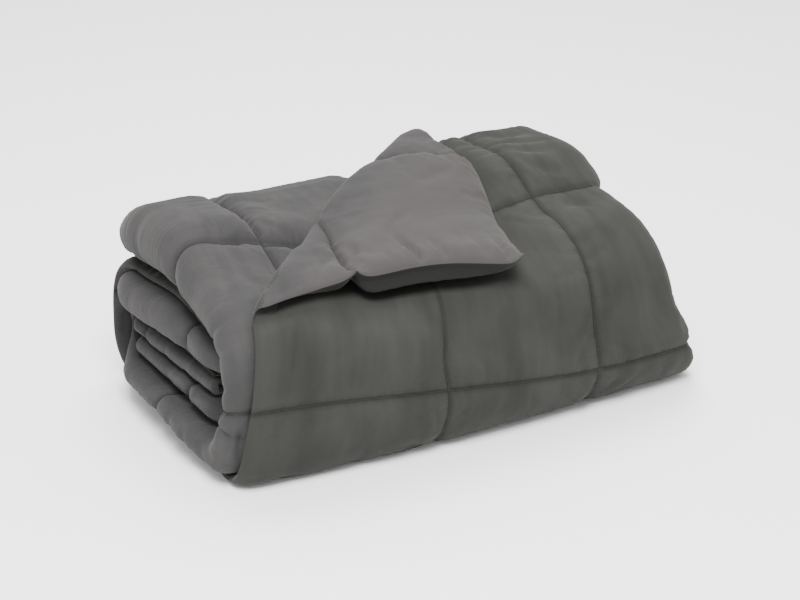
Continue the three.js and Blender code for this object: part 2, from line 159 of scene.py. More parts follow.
CORNER_RIM_OVER = 0.060
CORNER_RIM_STEEP = 4.0
CORNER_RIM_LESS = 0.75          # part of that lost in the middle of a box
CORNER_BULGE = 0.026            # how far the velvet under that edge bulges out past it
CORNER_BULGE_LEFT = 0.45        # part of that in the narrower box at the left
CORNER_BULGE_PAST = (0.025, 0.110)
CORNER_BULGE_TIP = 0.170        # it fades out over this towards the tip
CORNER_BULGE_AT = 0.014         # it is fullest this far from the edge
CORNER_BULGE_OVER = 0.070
CORNER_LIE = 0.026              # how far its right edge sinks into the velvet that it lies on
CORNER_LIE_OVER = 0.140
CORNER_LIE_FROM = (0.02, 0.16)  # from the tip, along that edge
CORNER_DROP = 0.017             # how far the cloth near its front edge hangs down
CORNER_DROPS = (0.200, 0.0)
CORNER_CALM = {1: 0.75, -1: 0.15}   # puckers smoothed out at its front edge: velvet, reverse
CORNER_CALMED = (0.140, 0.014)
CORNER_BLUNT = 0.005            # how far its tip is drawn in
CORNER_BLUNT_OVER = 0.014
CORNER_SPREAD = 0.033           # how far its right edge is spread to the right
CORNER_SPREAD_OVER = 0.320
CORNER_SPREAD_END = 0.400       # from the tip, along that edge
CORNER_SHIFT = 0.018            # how far the back part of its fold lies further to the right
CORNER_SHIFTED = (0.220, 0.420)
CORNER_SHIFT_OVER = (0.300, 0.050)
CORNER_SHIFT_FROM = (-0.050, 0.0)
CORNER_LOFT = 0.35              # how much fuller it is than cloth that is lain on
CORNER_LOFTS = (0.0, 0.050)
CORNER_PRESS = 0.68             # how much thinner it is along the bend
CORNER_PRESS_OVER = 0.045

COVERED_PRESS = 0.5             # how much thinner the cloth is that the corner lies on
COVERED_EDGE = 0.060            # it thins over this
COVERED_BEYOND = 0.35           # and starts this part of it outside the corner

# Sag and lean of the whole bundle: each pair is where it begins and where it is full
LOW_LEAN = {"by": 0.024, "x": (-0.340, -0.140), "z": (0.200, 0.070)}
RIGHT_LEAN = {"low": 0.324, "high": 0.162, "x": (0.220, 0.400), "middle": 0.170}
RIGHT_SINK = {"part": 0.05, "x": (-0.050, 0.400)}
LEFT_RISE = {"part": 0.03, "x": (-0.100, -0.300)}
LEFT_LIFT = {"by": 0.022, "steep": 1.5, "x": (-0.280, -0.380), "y": (-0.250, 0.0), "z": (0.110, 0.0)}
TOP_DIP = {"by": 0.025, "z": (0.200, 0.310)}
TOP_DIP_X = ((-0.270, -0.100), (0.270, 0.120))
TOP_DIP_Y = ((-0.280, -0.160), (0.220, 0.020))
FRONT_BOW = {"by": 0.030, "y": (0.0, -0.200), "middle": 0.050, "half": 0.430}
REST_DEPTH = 0.004              # how far the lowest boxes are pressed flat

LEFT_SLIP = 0.010               # how far the roll has slipped round, at its two ends
RIGHT_SLIP = -0.035
INNER_SLIP = 0.65               # part of it on the inner turns
SLIP_X = (-0.330, 0.320)
SLIP_ALONG = (0.0, 0.600)
SLIP_TURN = (1.1, 1.7)


def ease(v):
    t = np.clip(v, 0.0, 1.0)
    return t * t * (3.0 - 2.0 * t)


def between(value, ends):
    """0 up to the first end, 1 from the second on, and eased from one to the other."""
    return ease((value - ends[0]) / (ends[1] - ends[0]))


def falling(value, over):
    """1 at nothing, falling evenly to 0."""
    return 1.0 - np.clip(value / over, 0.0, 1.0)


def read(table, column, turn):
    """A table's value at any turn, eased from row to row."""
    turns = np.array([row["turn"] for row in table])
    values = np.array([row[column] for row in table])
    row = np.clip(np.searchsorted(turns, turn, side="right") - 1, 0, len(table) - 2)
    part = ease((turn - turns[row]) / (turns[row + 1] - turns[row]))
    return values[row] + (values[row + 1] - values[row]) * part


def strip_thickness(turn):
    return read(STRIP, "thick", turn)


def inner_radius(turn):
    """Distance from the slot in the middle of the bundle to the inner face of the strip."""
    whole = np.floor(turn)
    part = turn - whole
    radius = CORE_GAP + (strip_thickness(0.0) + TURN_GAP) * between(part, STEPS_OUT)
    for under in (0, 1):
        radius = radius + np.where(whole > under, strip_thickness(part + under) + TURN_GAP, 0.0)
    return radius


LOWEST_TURNS = np.linspace(1.5, 1.8, 31)    # the bottom of the second turn, which the bundle lies on
SLOT_HEIGHT = float(np.max(inner_radius(LOWEST_TURNS) + strip_thickness(LOWEST_TURNS)))


def squared(angle, power):
    """How much further out than a circle the outline of a squarer bend is."""
    return (np.abs(np.sin(angle)) ** power + np.abs(np.cos(angle)) ** power) ** (-1.0 / power)


def section(turn, radius, x, squarer=0.0):
    """Y and Z in the bundle's section: turn is how far round, radius how far out."""
    part = turn - np.floor(turn)
    flat = FRONT_CENTRE + BACK_CENTRE
    on_back = part - TOP_SHARE
    on_bottom = on_back - BACK_SHARE
    on_front = on_bottom - BOTTOM_SHARE

    y = -FRONT_CENTRE + flat * part / TOP_SHARE
    z = SLOT_HEIGHT + radius

    angle = math.pi * on_back / BACK_SHARE
    reach = radius * squared(angle, BACK_SQUARE)
    y = np.where(on_back >= 0, BACK_CENTRE + reach * np.sin(angle), y)
    z = np.where(on_back >= 0, SLOT_HEIGHT + reach * np.cos(angle), z)

    y = np.where(on_bottom >= 0, BACK_CENTRE - flat * on_bottom / BOTTOM_SHARE, y)
    z = np.where(on_bottom >= 0, SLOT_HEIGHT - radius, z)

    angle = math.pi * on_front / FRONT_SHARE
    right = between(x, FRONT_ROUNDER)
    under = FRONT_SQUARE_UNDER * right * between(angle, FRONT_UNDER)
    power = FRONT_SQUARE_LEFT + (FRONT_SQUARE_RIGHT - FRONT_SQUARE_LEFT) * right + under + squarer
    reach = radius * squared(angle, power)
    y = np.where(on_front >= 0, -FRONT_CENTRE - reach * np.sin(angle), y)
    z = np.where(on_front >= 0, SLOT_HEIGHT - reach * np.cos(angle), z)
    return y, z


def settle(x, y, z):
    """Sag of the whole bundle: lower at the right, hollow on top, its left end a little lifted."""
    low = LOW_LEAN["by"] * between(z, LOW_LEAN["z"]) * between(x, LOW_LEAN["x"])
    slope = np.where(z > RIGHT_LEAN["middle"], RIGHT_LEAN["high"], RIGHT_LEAN["low"])
    lean = slope * between(x, RIGHT_LEAN["x"]) * (RIGHT_LEAN["middle"] - z)
    sink = 1.0 - RIGHT_SINK["part"] * between(x, RIGHT_SINK["x"])
    sink = sink + LEFT_RISE["part"] * between(x, LEFT_RISE["x"])
    lift = LEFT_LIFT["by"] * between(x, LEFT_LIFT["x"]) ** LEFT_LIFT["steep"]
    lift = lift * between(y, LEFT_LIFT["y"]) * between(z, LEFT_LIFT["z"])
    dip = TOP_DIP["by"] * between(z, TOP_DIP["z"])
    for place, pairs in ((x, TOP_DIP_X), (y, TOP_DIP_Y)):
        dip = dip * between(place, pairs[0]) * between(place, pairs[1])
    bow = FRONT_BOW["by"] * between(y, FRONT_BOW["y"])
    bow = bow * (1.0 - ((x - FRONT_BOW["middle"]) / FRONT_BOW["half"]) ** 2)
    return np.stack([x + low + lean, y - bow, z * sink + lift - dip], axis=-1)


# Length of the duvet from its inner end to each turn, along the middle of the strip
TURNS = np.arange(0.0, LAST_TURN + PAST_LAST, TURN_STEP)
middle_radius = inner_radius(TURNS) + strip_thickness(TURNS) / 2
middle_y, middle_z = section(TURNS, middle_radius, np.zeros_like(TURNS))
LENGTHS = np.concatenate([[0.0], np.cumsum(np.hypot(np.diff(middle_y), np.diff(middle_z)))])


def turn_at(along):
    return np.interp(along, LENGTHS, TURNS)


LENGTH = float(np.interp(LAST_TURN, TURNS, LENGTHS))
OUTER_END = OUTER_LAYER
MIDDLE_START = OUTER_END + FOLD_LENGTH
MIDDLE_END = MIDDLE_START + MIDDLE_LAYER
INNER_START = MIDDLE_END + FOLD_LENGTH
WIDTH = INNER_START + INNER_LAYER
seams_across = [FIRST_BOX + BOX_ACROSS * i for i in range(SEAMS_ACROSS)]
seams_along = [LENGTH - LAST_BOX - BOX_ALONG * i for i in range(SEAMS_ALONG)]


def nearest_seam(place, seams):
    return np.min([np.abs(place - seam) for seam in seams], axis=0)


def fullness(place, seams, end):
    """0 on a seam or an edge, 1 in the full part of a box."""
    by_seam = 1.0 - falling(nearest_seam(place, seams), DRAW_IN) ** DRAW_IN_ROUND
    by_edge = 1.0 - falling(np.minimum(place, end - place), EDGE_DRAW_IN) ** EDGE_DRAW_IN_ROUND
    return np.minimum(by_seam, by_edge)


def from_edges(across, along):
    """Distance to the nearest of the duvet's own edges."""
    return np.minimum(np.minimum(across, WIDTH - across), np.minimum(along, LENGTH - along))


def on_left_fold(across):
    """1 where the cloth goes round the left fold, 0 well away from it."""
    before = between(across, (MIDDLE_END - FOLD_REACH, MIDDLE_END))
    return before * between(across, (INNER_START + FOLD_REACH, INNER_START))


def full_thickness(across, turn):
    """Thickness of a layer in the full part of its boxes."""
    to_middle = ease((across - OUTER_END) / FOLD_LENGTH)
    to_inner = ease((across - MIDDLE_END) / FOLD_LENGTH)
    share = OUTER_SHARE + (MIDDLE_SHARE - OUTER_SHARE) * to_middle
    share = share + (INNER_SHARE - MIDDLE_SHARE) * to_inner
    return strip_thickness(turn) * share - LAYER_GAP


def layer_thickness(across, along, turn):
    """Thickness of a layer, drawn in at its seams and closed at the duvet's own edges."""
    a = fullness(across, seams_across, WIDTH)
    b = fullness(along, seams_along, LENGTH)
    b = b + (1.0 - b) * FOLD_FULLER * on_left_fold(across) * (turn < LAST_TURN - END_TURNS)
    crown = (1.0 - BOX_ROUND) * np.minimum(a, b) + BOX_ROUND * a * b
    thickness = SEAM_THICKNESS + (full_thickness(across, turn) - SEAM_THICKNESS) * crown
    return thickness * np.sqrt(1.0 - falling(from_edges(across, along), EDGE_ROUND) ** 2)


def strip(across, turn, half):
    """X, level in the strip (0 inner face, 1 outer face), and the way the velvet looks."""
    left = read(LEFT_END, "fold", turn)
    edge = read(LEFT_END, "edge", turn)
    outer = 1.0 - OUTER_SHARE / 2
    middle = INNER_SHARE + MIDDLE_SHARE / 2
    inner = INNER_SHARE / 2
    nose = np.abs(half) + FOLD_SLOT
    one = np.ones_like(across)

    x = edge + (RIGHT_FOLD - edge) * across / OUTER_END
    level = outer * one
    look_x = 0.0 * one
    look_out = one

    a = math.pi * (across - OUTER_END) / FOLD_LENGTH
    here = (across > OUTER_END) & (across < MIDDLE_START)
    x = np.where(here, RIGHT_FOLD + nose * np.sin(a), x)
    level = np.where(here, (outer + middle) / 2 + (outer - middle) / 2 * np.cos(a), level)
    look_x = np.where(here, np.sin(a), look_x)
    look_out = np.where(here, np.cos(a), look_out)

    part = (across - MIDDLE_START) / (MIDDLE_END - MIDDLE_START)
    here = (across >= MIDDLE_START) & (across <= MIDDLE_END)
    x = np.where(here, RIGHT_FOLD + (left - RIGHT_FOLD) * part, x)
    level = np.where(here, middle, level)
    look_out = np.where(here, -1.0, look_out)

    a = math.pi * (across - MIDDLE_END) / FOLD_LENGTH
    here = (across > MIDDLE_END) & (across < INNER_START)
    x = np.where(here, left - nose * np.sin(a), x)
    level = np.where(here, (middle + inner) / 2 + (middle - inner) / 2 * np.cos(a), level)
    look_x = np.where(here, np.sin(a), look_x)
    look_out = np.where(here, -np.cos(a), look_out)

    part = (across - INNER_START) / (WIDTH - INNER_START)
    here = across >= INNER_START
    x = np.where(here, left + (INNER_LAYER_END - left) * part, x)
    level = np.where(here, inner, level)
    return x, level, look_x, look_out


FOLD_LINE = math.hypot(CORNER_ALONG, CORNER_ACROSS)
TO_CORNER_ACROSS = -CORNER_ALONG / FOLD_LINE
TO_CORNER_ALONG = CORNER_ACROSS / FOLD_LINE


def beyond_fold(across, along):
    """How far a flat point lies beyond the line that the corner is folded over."""
    return across * TO_CORNER_ACROSS + (along - (LENGTH - CORNER_ALONG)) * TO_CORNER_ALONG


def along_fold(across, along):
    """How far along that line it lies, from the front."""
    return across * TO_CORNER_ALONG - (along - (LENGTH - CORNER_ALONG)) * TO_CORNER_ACROSS


def covered(across, along):
    """From 0 outside the turned-back corner to 1 well under it."""
    before = -beyond_fold(across, along)
    from_front = along_fold(across, along)
    reach_front = from_front * CORNER_ACROSS / CORNER_ALONG
    reach_back = (FOLD_LINE - from_front) * CORNER_ALONG / CORNER_ACROSS
    inside = np.minimum(reach_front, reach_back) - before
    return ease(inside / COVERED_EDGE + COVERED_BEYOND) * ease(before / COVERED_EDGE + 1.0)


def slipped(along, x):
    """The turn that a place along the duvet comes to, once the roll has slipped round."""
    slip = LEFT_SLIP + (RIGHT_SLIP - LEFT_SLIP) * between(x, SLIP_X)
    tightening = INNER_SLIP + (1.0 - INNER_SLIP) * between(turn_at(along), SLIP_TURN)
    return turn_at(along + slip * tightening * between(along, SLIP_ALONG))


def turned_back(across, along):
    """Where flat points of the outer layer go when the corner is turned back over its bend."""
    beyond = beyond_fold(across, along)
    from_front = along_fold(across, along)
    wider = between(from_front, CORNER_WIDENS)
    fold_radius = CORNER_RADIUS * (CORNER_TIGHT + (1.0 - CORNER_TIGHT) * wider)
    bend = np.clip(beyond / fold_radius, 0.0, math.pi)
    past = np.maximum(beyond - math.pi * fold_radius, 0.0)
    slide = np.where(beyond <= 0, 0.0, beyond - fold_radius * np.sin(bend) + past)
    a = across - slide * TO_CORNER_ACROSS
    b = along - slide * TO_CORNER_ALONG - (LENGTH - CORNER_ALONG)

    to_edge = np.arctan2(past, np.maximum(from_front, CORNER_FRONT))
    to_edge = to_edge / math.atan2(CORNER_ACROSS, CORNER_ALONG)
    swing = CORNER_SWING - CORNER_SWING_BACK * between(past, CORNER_SWUNG)
    swing = swing * between(to_edge, CORNER_SWING_TO)
    new_across = a * np.cos(swing) - b * np.sin(swing)
    new_along = a * np.sin(swing) + b * np.cos(swing) + LENGTH - CORNER_ALONG

    towards_back = a * TO_CORNER_ALONG - b * TO_CORNER_ACROSS
    lifted = CORNER_STAND * between(past, CORNER_STANDS)
    lifted = lifted * (1.0 - CORNER_SETTLE * between(past, CORNER_SETTLES))
    lifted = lifted * between(towards_back, CORNER_STAND_FRONT)
    flare = falling(across, CORNER_FLARE_OVER) ** 2
    lifted = lifted + CORNER_FLARE * flare * between(past, CORNER_FLARES)
    rise = fold_radius * (1.0 - np.cos(bend)) + lifted

    from_bend = (beyond - math.pi * fold_radius / 2) / CORNER_PRESS_OVER
    pressed = 1.0 - CORNER_PRESS * np.exp(-from_bend ** 2)
    pressed = pressed * (1.0 + CORNER_LOFT * between(past, CORNER_LOFTS))
    return new_across, new_along, bend, past, rise, pressed


def corner_hang(across, along, turned, full_box):
    """How far the turned-back corner lies lower, or higher along the rim of its front edge."""
    rim = CORNER_RIM * falling(across, CORNER_RIM_OVER) ** CORNER_RIM_STEEP * turned
    rim = rim * (1.0 - CORNER_RIM_LESS * full_box)
    lie = CORNER_LIE * falling(LENGTH - along, CORNER_LIE_OVER) ** 2 * turned
    lie = lie * between(across, CORNER_LIE_FROM)
    return lie + CORNER_DROP * turned * between(across, CORNER_DROPS) - rim


def corner_bulge(across, along, past, full_box):
    """How far the velvet bulges out past the corner's front edge."""
    bulge = between(across, (0.0, CORNER_BULGE_AT)) * between(across, (CORNER_BULGE_OVER, CORNER_BULGE_AT))
    bulge = bulge * np.where(along < seams_along[0], CORNER_BULGE_LEFT, 1.0) * full_box
    bulge = bulge * np.sqrt(between(along, (LENGTH, LENGTH - CORNER_BULGE_TIP)))
    return CORNER_BULGE * bulge * between(past, CORNER_BULGE_PAST)


def corner_spread(across, along, turned):
    """How far the corner's right edge is spread."""
    spread = CORNER_SPREAD * np.sin(math.pi * np.clip(across / CORNER_SPREAD_END, 0.0, 1.0)) * turned
    return spread * between(along, (LENGTH - CORNER_SPREAD_OVER, LENGTH))


def corner_shift(across, along, past):
    """How far the back part of the corner's fold is shifted."""
    shift = CORNER_SHIFT * between(along_fold(across, along), CORNER_SHIFTED)
    shift = shift * between(past, CORNER_SHIFT_OVER)
    return shift * between(beyond_fold(across, along), CORNER_SHIFT_FROM)


def place_cloth(across, along, side, raised=0.0):
    """Carry flat points to the bundle: side is 1 for the velvet and -1 for the reverse, and raised
    is how far each point stands out from the smooth face of its box."""
    outer_layer = across <= OUTER_END
    blunt = CORNER_BLUNT * np.exp(-(across + LENGTH - along) / CORNER_BLUNT_OVER)
    new_across, new_along, bend, past, rise, pressed = turned_back(across + blunt, along - blunt)
    new_across = np.where(outer_layer, new_across, across)
    new_along = np.where(outer_layer, new_along, along)
    bend, past, rise = (np.where(outer_layer, value, 0.0) for value in (bend, past, rise))
    pressed = np.where(outer_layer, pressed, 1.0)
    turned = between(past, CORNER_TURNED)
    full_box = fullness(along, seams_along, LENGTH)

    under = turn_at(new_along)
    under_x = strip(new_across, under, np.zeros_like(across))[0]
    turn_here = turn_at(along) + slipped(new_along, under_x) - under
    thickness = layer_thickness(across, along, turn_here)
    taut = TAUT * (full_thickness(across, turn_here) - thickness) / 2
    taut = taut * ease((MIDDLE_START - across) / FOLD_LENGTH)
    taut = taut * ease(-beyond_fold(across, along) / TAUT_BEFORE)
    taut = taut * np.clip(across / DRAW_IN, 0.0, 1.0) * np.clip((LENGTH - along) / DRAW_IN, 0.0, 1.0)
    thinner = np.where(outer_layer & (past <= 0), COVERED_PRESS * covered(across, along), 0.0)
    calm = CORNER_CALM[side] * turned * between(across, CORNER_CALMED)
    half = side * (thickness / 2 + raised * (1.0 - calm))
    out = half * pressed - (half + np.abs(half)) * thinner + taut
    out = out + corner_hang(across, along, turned, full_box)

    if side > 0:
        new_along = new_along - corner_bulge(across, along, past, full_box)
    spread = corner_spread(across, along, turned)
    new_across = new_across + spread + corner_shift(across, along, past) * outer_layer
    new_along = new_along - spread / 2
    new_across = new_across - out * np.sin(bend) * TO_CORNER_ACROSS
    new_along = new_along - out * np.sin(bend) * TO_CORNER_ALONG

    x, level, look_x, look_out = strip(new_across, turn_at(new_along), out)
    turn = slipped(new_along, x)
    radius = inner_radius(turn) + strip_thickness(turn) * level + rise
    radius = radius + out * np.where(outer_layer, np.cos(bend), look_out)
    x = x + out * look_x
    y, z = section(turn, radius, x, CORNER_SQUARE * turned)
    return settle(x, y, z)


WIDE_CELL = 0.0145              # where the cloth is hidden
ROUNDING = 1e-6
FINE_PARTS = 3                  # each wide cell is cut in this many where the cloth shows


def lines_between(marks, spacing):
    """Grid lines that run through every mark, no further apart than the spacing."""
    lines = [marks[0]]
    for low, high in zip(marks[:-1], marks[1:]):
        count = max(1, math.ceil((high - low) / spacing - ROUNDING))
        lines += [low + (high - low) * (i + 1) / count for i in range(count)]
    return np.array(lines)


folds = [OUTER_END, MIDDLE_START, MIDDLE_END, INNER_START]
across_marks = [0.0, EDGE_ROUND, WIDTH - EDGE_ROUND, WIDTH] + folds + seams_across
along_marks = [0.0, EDGE_ROUND, LENGTH - EDGE_ROUND, LENGTH] + seams_along
across_lines = lines_between(sorted(across_marks), WIDE_CELL)
along_lines = lines_between(sorted(along_marks), WIDE_CELL)


def fine_lines(lines):
    parts = np.arange(FINE_PARTS) / FINE_PARTS
    fine = lines[:-1, None] + np.diff(lines)[:, None] * parts
    return np.append(fine.ravel(), lines[-1])


def flat_cloth(shows):
    """Flat points and faces of one panel, cut finely where shows(across, along) is true."""
    middles = ((lines[:-1] + lines[1:]) / 2 for lines in (across_lines, along_lines))
    fine = shows(*np.meshgrid(*middles, indexing="ij"))
    n = FINE_PARTS
    rows = n * (len(across_lines) - 1) + 1
    columns = n * (len(along_lines) - 1) + 1
    faces = []
    cell_i, cell_j = np.nonzero(fine)
    for di in range(n):
        for dj in range(n):
            corner = (cell_i * n + di) * columns + cell_j * n + dj
            beside = corner + columns
            faces += np.stack([corner, beside, beside + 1, corner + 1], axis=-1).tolist()
    padded = np.pad(fine, 1)
    for i, j in zip(*np.nonzero(~fine)):
        ring = []
        sides = [
            ((0, 0), (1, 0), padded[i + 1, j]),
            ((n, 0), (0, 1), padded[i + 2, j + 1]),
            ((n, n), (-1, 0), padded[i + 1, j + 2]),
            ((0, n), (0, -1), padded[i, j + 1]),
        ]
        for (si, sj), (di, dj), beside_fine in sides:
            for step in range(n if beside_fine else 1):
                ring.append(int((i * n + si + di * step) * columns + j * n + sj + dj * step))
        faces.append(ring)
    numbers = np.unique(np.concatenate([np.ravel(face) for face in faces]))
    renumber = np.full(rows * columns, -1)
    renumber[numbers] = np.arange(len(numbers))
    across = fine_lines(across_lines)[numbers // columns]
    along = fine_lines(along_lines)[numbers % columns]
    faces = [[int(renumber[k]) for k in face] for face in faces]
    return across, along, faces


OUTSIDE_TURN = 1.27             # the velvet shows from this turn outwards
RIGHT_END_SHOWN = 0.03          # and this far beside the right fold
LEFT_EDGE_SHOWN = 0.06          # and this far from the free edge


def velvet_shows(across, along):
    outside = (across < MIDDLE_START) & (turn_at(along) > OUTSIDE_TURN)
    right_end = (across > OUTER_END - RIGHT_END_SHOWN) & (across < MIDDLE_START + RIGHT_END_SHOWN)
    return outside | right_end | (across < LEFT_EDGE_SHOWN)


def coarse_outline():
    """Lowest and highest places of the bundle. The origin stands midway between them in X and Y."""
    across, along = np.meshgrid(across_lines, along_lines, indexing="ij")
    across, along = across.ravel(), along.ravel()
    both = np.concatenate([place_cloth(across, along, 1), place_cloth(across, along, -1)])
    return both.min(axis=0), both.max(axis=0)


outline_low, outline_high = coarse_outline()
BUNDLE_CENTRE = (outline_low[:2] + outline_high[:2]) / 2


def centre_on_box(points):
    """Move points from the roll's own axis to the part's origin, and press the lowest ones flat."""
    points = points.copy()
    points[:, :2] -= BUNDLE_CENTRE
    points[:, 2] = np.maximum(points[:, 2] - REST_DEPTH, 0.0)
    return points


# The quilting gathers the cloth, so it puckers beside every seam. Four boxes of slack cloth are held
# along their seams and blown up by the filling, and what that adds to a smooth box is the puckering.
PATCH_BOXES = 2
PATCH_CELL = 0.0055
PATCH_HEIGHT = 0.018
PATCH_DRAW_IN = 0.060
PATCH_UNEVEN = 0.0008           # small bumps that the puckers start from
PATCH_FRAMES = 20
PATCH_CLOTH = {
    "quality": 5,
    "mass": 0.25,
    "air_damping": 2.0,
    "tension_stiffness": 25.0,
    "compression_stiffness": 25.0,
    "shear_stiffness": 8.0,
    "bending_stiffness": 1.0,
    "tension_damping": 8.0,
    "compression_damping": 8.0,
    "shear_damping": 8.0,
    "vertex_group_mass": "seams",
    "shrink_min": -0.025,       # the cloth is this much longer than its seams
    "use_pressure": True,
    "uniform_pressure_force": 6.0,
}
PUCKER_LIMIT = 0.0045
PATCH_SEED = 7
cells_across = round(BOX_ACROSS / PATCH_CELL)
cells_along = round(BOX_ALONG / PATCH_CELL)


def sewn_patch():
    """The patch before it is blown up, as points, with a mark on those that are sewn down."""
    rows = np.arange(PATCH_BOXES * cells_across + 1)
    columns = np.arange(PATCH_BOXES * cells_along + 1)
    across, along = np.meshgrid(rows / cells_across, columns / cells_along, indexing="ij")
    height = PATCH_HEIGHT
    for place, box in ((across, BOX_ACROSS), (along, BOX_ALONG)):
        from_seam = np.minimum(place % 1.0, 1.0 - place % 1.0) * box
        height = height * (1.0 - falling(from_seam, PATCH_DRAW_IN) ** 2)
    height = height + np.random.default_rng(PATCH_SEED).uniform(0.0, PATCH_UNEVEN, across.shape)
    sewn = (rows % cells_across == 0)[:, None] | (columns % cells_along == 0)[None, :]
    height[sewn] = 0.0
    return np.stack([across * BOX_ACROSS, along * BOX_ALONG, height], axis=-1), sewn


def into_scene(name, data):
    thing = bpy.data.objects.new(name, data)
    bpy.context.scene.collection.objects.link(thing)
    return thing


def blown_up(points, sewn):
    """Heights of the patch once its cloth has been let out and blown up."""
    rows, columns = sewn.shape
    grid = np.arange(rows * columns).reshape(rows, columns)
    squares = np.stack([grid[:-1, :-1], grid[1:, :-1], grid[1:, 1:], grid[:-1, 1:]], axis=-1)
    mesh = bpy.data.meshes.new("quilted_patch")
    mesh.from_pydata(points.reshape(-1, 3).tolist(), [], squares.reshape(-1, 4).tolist())
    patch = into_scene("quilted_patch", mesh)
    seams = patch.vertex_groups.new(name="seams")
    seams.add(np.nonzero(sewn.ravel())[0].tolist(), 1.0, "REPLACE")
    cloth = patch.modifiers.new("cloth", "CLOTH")
    for setting, value in PATCH_CLOTH.items():
        setattr(cloth.settings, setting, value)
    cloth.settings.effector_weights.gravity = 0.0
    cloth.collision_settings.use_collision = False
    cloth.point_cache.frame_start = 1
    cloth.point_cache.frame_end = PATCH_FRAMES
    for frame_number in range(1, PATCH_FRAMES + 1):
        bpy.context.scene.frame_set(frame_number)
    blown = patch.evaluated_get(bpy.context.evaluated_depsgraph_get()).data
    places = np.empty(len(blown.vertices) * 3)
    blown.vertices.foreach_get("co", places)
    bpy.data.objects.remove(patch)
    bpy.context.scene.frame_set(1)
    return places.reshape(rows, columns, 3)[..., 2]


def puckering():
    """What the puckers add to each of the four boxes, with nothing added on their seams."""
    points, sewn = sewn_patch()
    heights = blown_up(points, sewn)
    rows = [slice(i * cells_across, (i + 1) * cells_across + 1) for i in range(PATCH_BOXES)]
    columns = [slice(j * cells_along, (j + 1) * cells_along + 1) for j in range(PATCH_BOXES)]
    boxes = np.array([[heights[row, column] for column in columns] for row in rows])
    smooth = boxes.mean(axis=(0, 1))
    smooth = (smooth + smooth[::-1] + smooth[:, ::-1] + smooth[::-1, ::-1]) / 4
    return np.clip(boxes - smooth, -PUCKER_LIMIT, PUCKER_LIMIT)


PUCKERS = puckering()


def place_in_box(place, seams, end):
    """Which box a flat place is in, and how far across it, from 0 to 1."""
    lines = np.array([0.0] + sorted(seams) + [end])
    box = np.clip(np.searchsorted(lines, place, side="right") - 1, 0, len(lines) - 2)
    return box, np.clip((place - lines[box]) / (lines[box + 1] - lines[box]), 0.0, 1.0)


def puckers_at(across, along, side):
    """The puckering of one cloth. Neighbouring boxes take different ones of the four, turned over."""
    box_a, part_a = place_in_box(across, seams_across, WIDTH)
    box_b, part_b = place_in_box(along, seams_along, LENGTH)
    turn_over = (box_a + 2 * box_b + (0 if side > 0 else 1)) % 4
    part_a = np.where(turn_over % 2 == 1, 1.0 - part_a, part_a)
    part_b = np.where(turn_over >= 2, 1.0 - part_b, part_b)
    one = (box_a // 2 + box_b + (0 if side > 0 else 1)) % 2
    two = (box_b // 2 + box_a) % 2
    i = part_a * cells_across
    j = part_b * cells_along
    i0 = np.minimum(i.astype(int), cells_across - 1)
    j0 = np.minimum(j.astype(int), cells_along - 1)
    di = i - i0
    dj = j - j0
    near = PUCKERS[one, two, i0, j0] * (1 - dj) + PUCKERS[one, two, i0, j0 + 1] * dj
    far = PUCKERS[one, two, i0 + 1, j0] * (1 - dj) + PUCKERS[one, two, i0 + 1, j0 + 1] * dj
    return near * (1 - di) + far * di


# Creases, in flat places: from, to, how deep (a ridge if it is above 0), and half its width
VELVET_CREASES = [
    {"from": (0.072, 1.815), "to": (0.052, 1.715), "rise": -0.0050, "width": 0.007},
    {"from": (0.085, 1.815), "to": (0.066, 1.765), "rise": -0.0040, "width": 0.006},
    {"from": (0.092, 1.805), "to": (0.090, 1.765), "rise": -0.0035, "width": 0.006},
    {"from": (0.128, 1.800), "to": (0.131, 1.765), "rise": -0.0035, "width": 0.007},
    {"from": (0.060, 1.800), "to": (0.046, 1.740), "rise": 0.0030, "width": 0.007},
    {"from": (0.580, 2.030), "to": (0.670, 2.010), "rise": -0.0070, "width": 0.012},
    {"from": (0.570, 2.075), "to": (0.680, 2.060), "rise": -0.0075, "width": 0.013},
    {"from": (0.590, 2.120), "to": (0.690, 2.095), "rise": -0.0060, "width": 0.012},
    {"from": (0.575, 2.165), "to": (0.680, 2.150), "rise": -0.0060, "width": 0.013},
    {"from": (0.600, 1.955), "to": (0.670, 1.930), "rise": -0.0045, "width": 0.012},
    {"from": (0.420, 1.960), "to": (0.460, 1.900), "rise": -0.0030, "width": 0.012},
    {"from": (0.180, 1.640), "to": (0.150, 1.560), "rise": -0.0025, "width": 0.012},
]
REVERSE_CREASES = [
    {"from": (0.020, 1.996), "to": (0.075, 2.010), "rise": -0.0050, "width": 0.009},
    {"from": (-0.030, 2.112), "to": (0.070, 2.080), "rise": -0.0100, "width": 0.0065},
    {"from": (-0.030, 2.148), "to": (0.050, 2.128), "rise": -0.0065, "width": 0.0065},
    {"from": (-0.030, 2.210), "to": (0.052, 2.196), "rise": -0.0055, "width": 0.0065},
    {"from": (-0.030, 2.244), "to": (0.060, 2.226), "rise": -0.0070, "width": 0.0065},
    {"from": (0.050, 2.060), "to": (0.130, 2.110), "rise": -0.0030, "width": 0.0100},
    {"from": (0.030, 1.945), "to": (0.100, 1.925), "rise": -0.0035, "width": 0.012},
    {"from": (0.240, 2.215), "to": (0.180, 2.120), "rise": -0.0030, "width": 0.012},
    {"from": (1.462, 1.670), "to": (1.458, 1.610), "rise": -0.0060, "width": 0.006},
    {"from": (1.440, 1.640), "to": (1.500, 1.655), "rise": -0.0040, "width": 0.007},
]

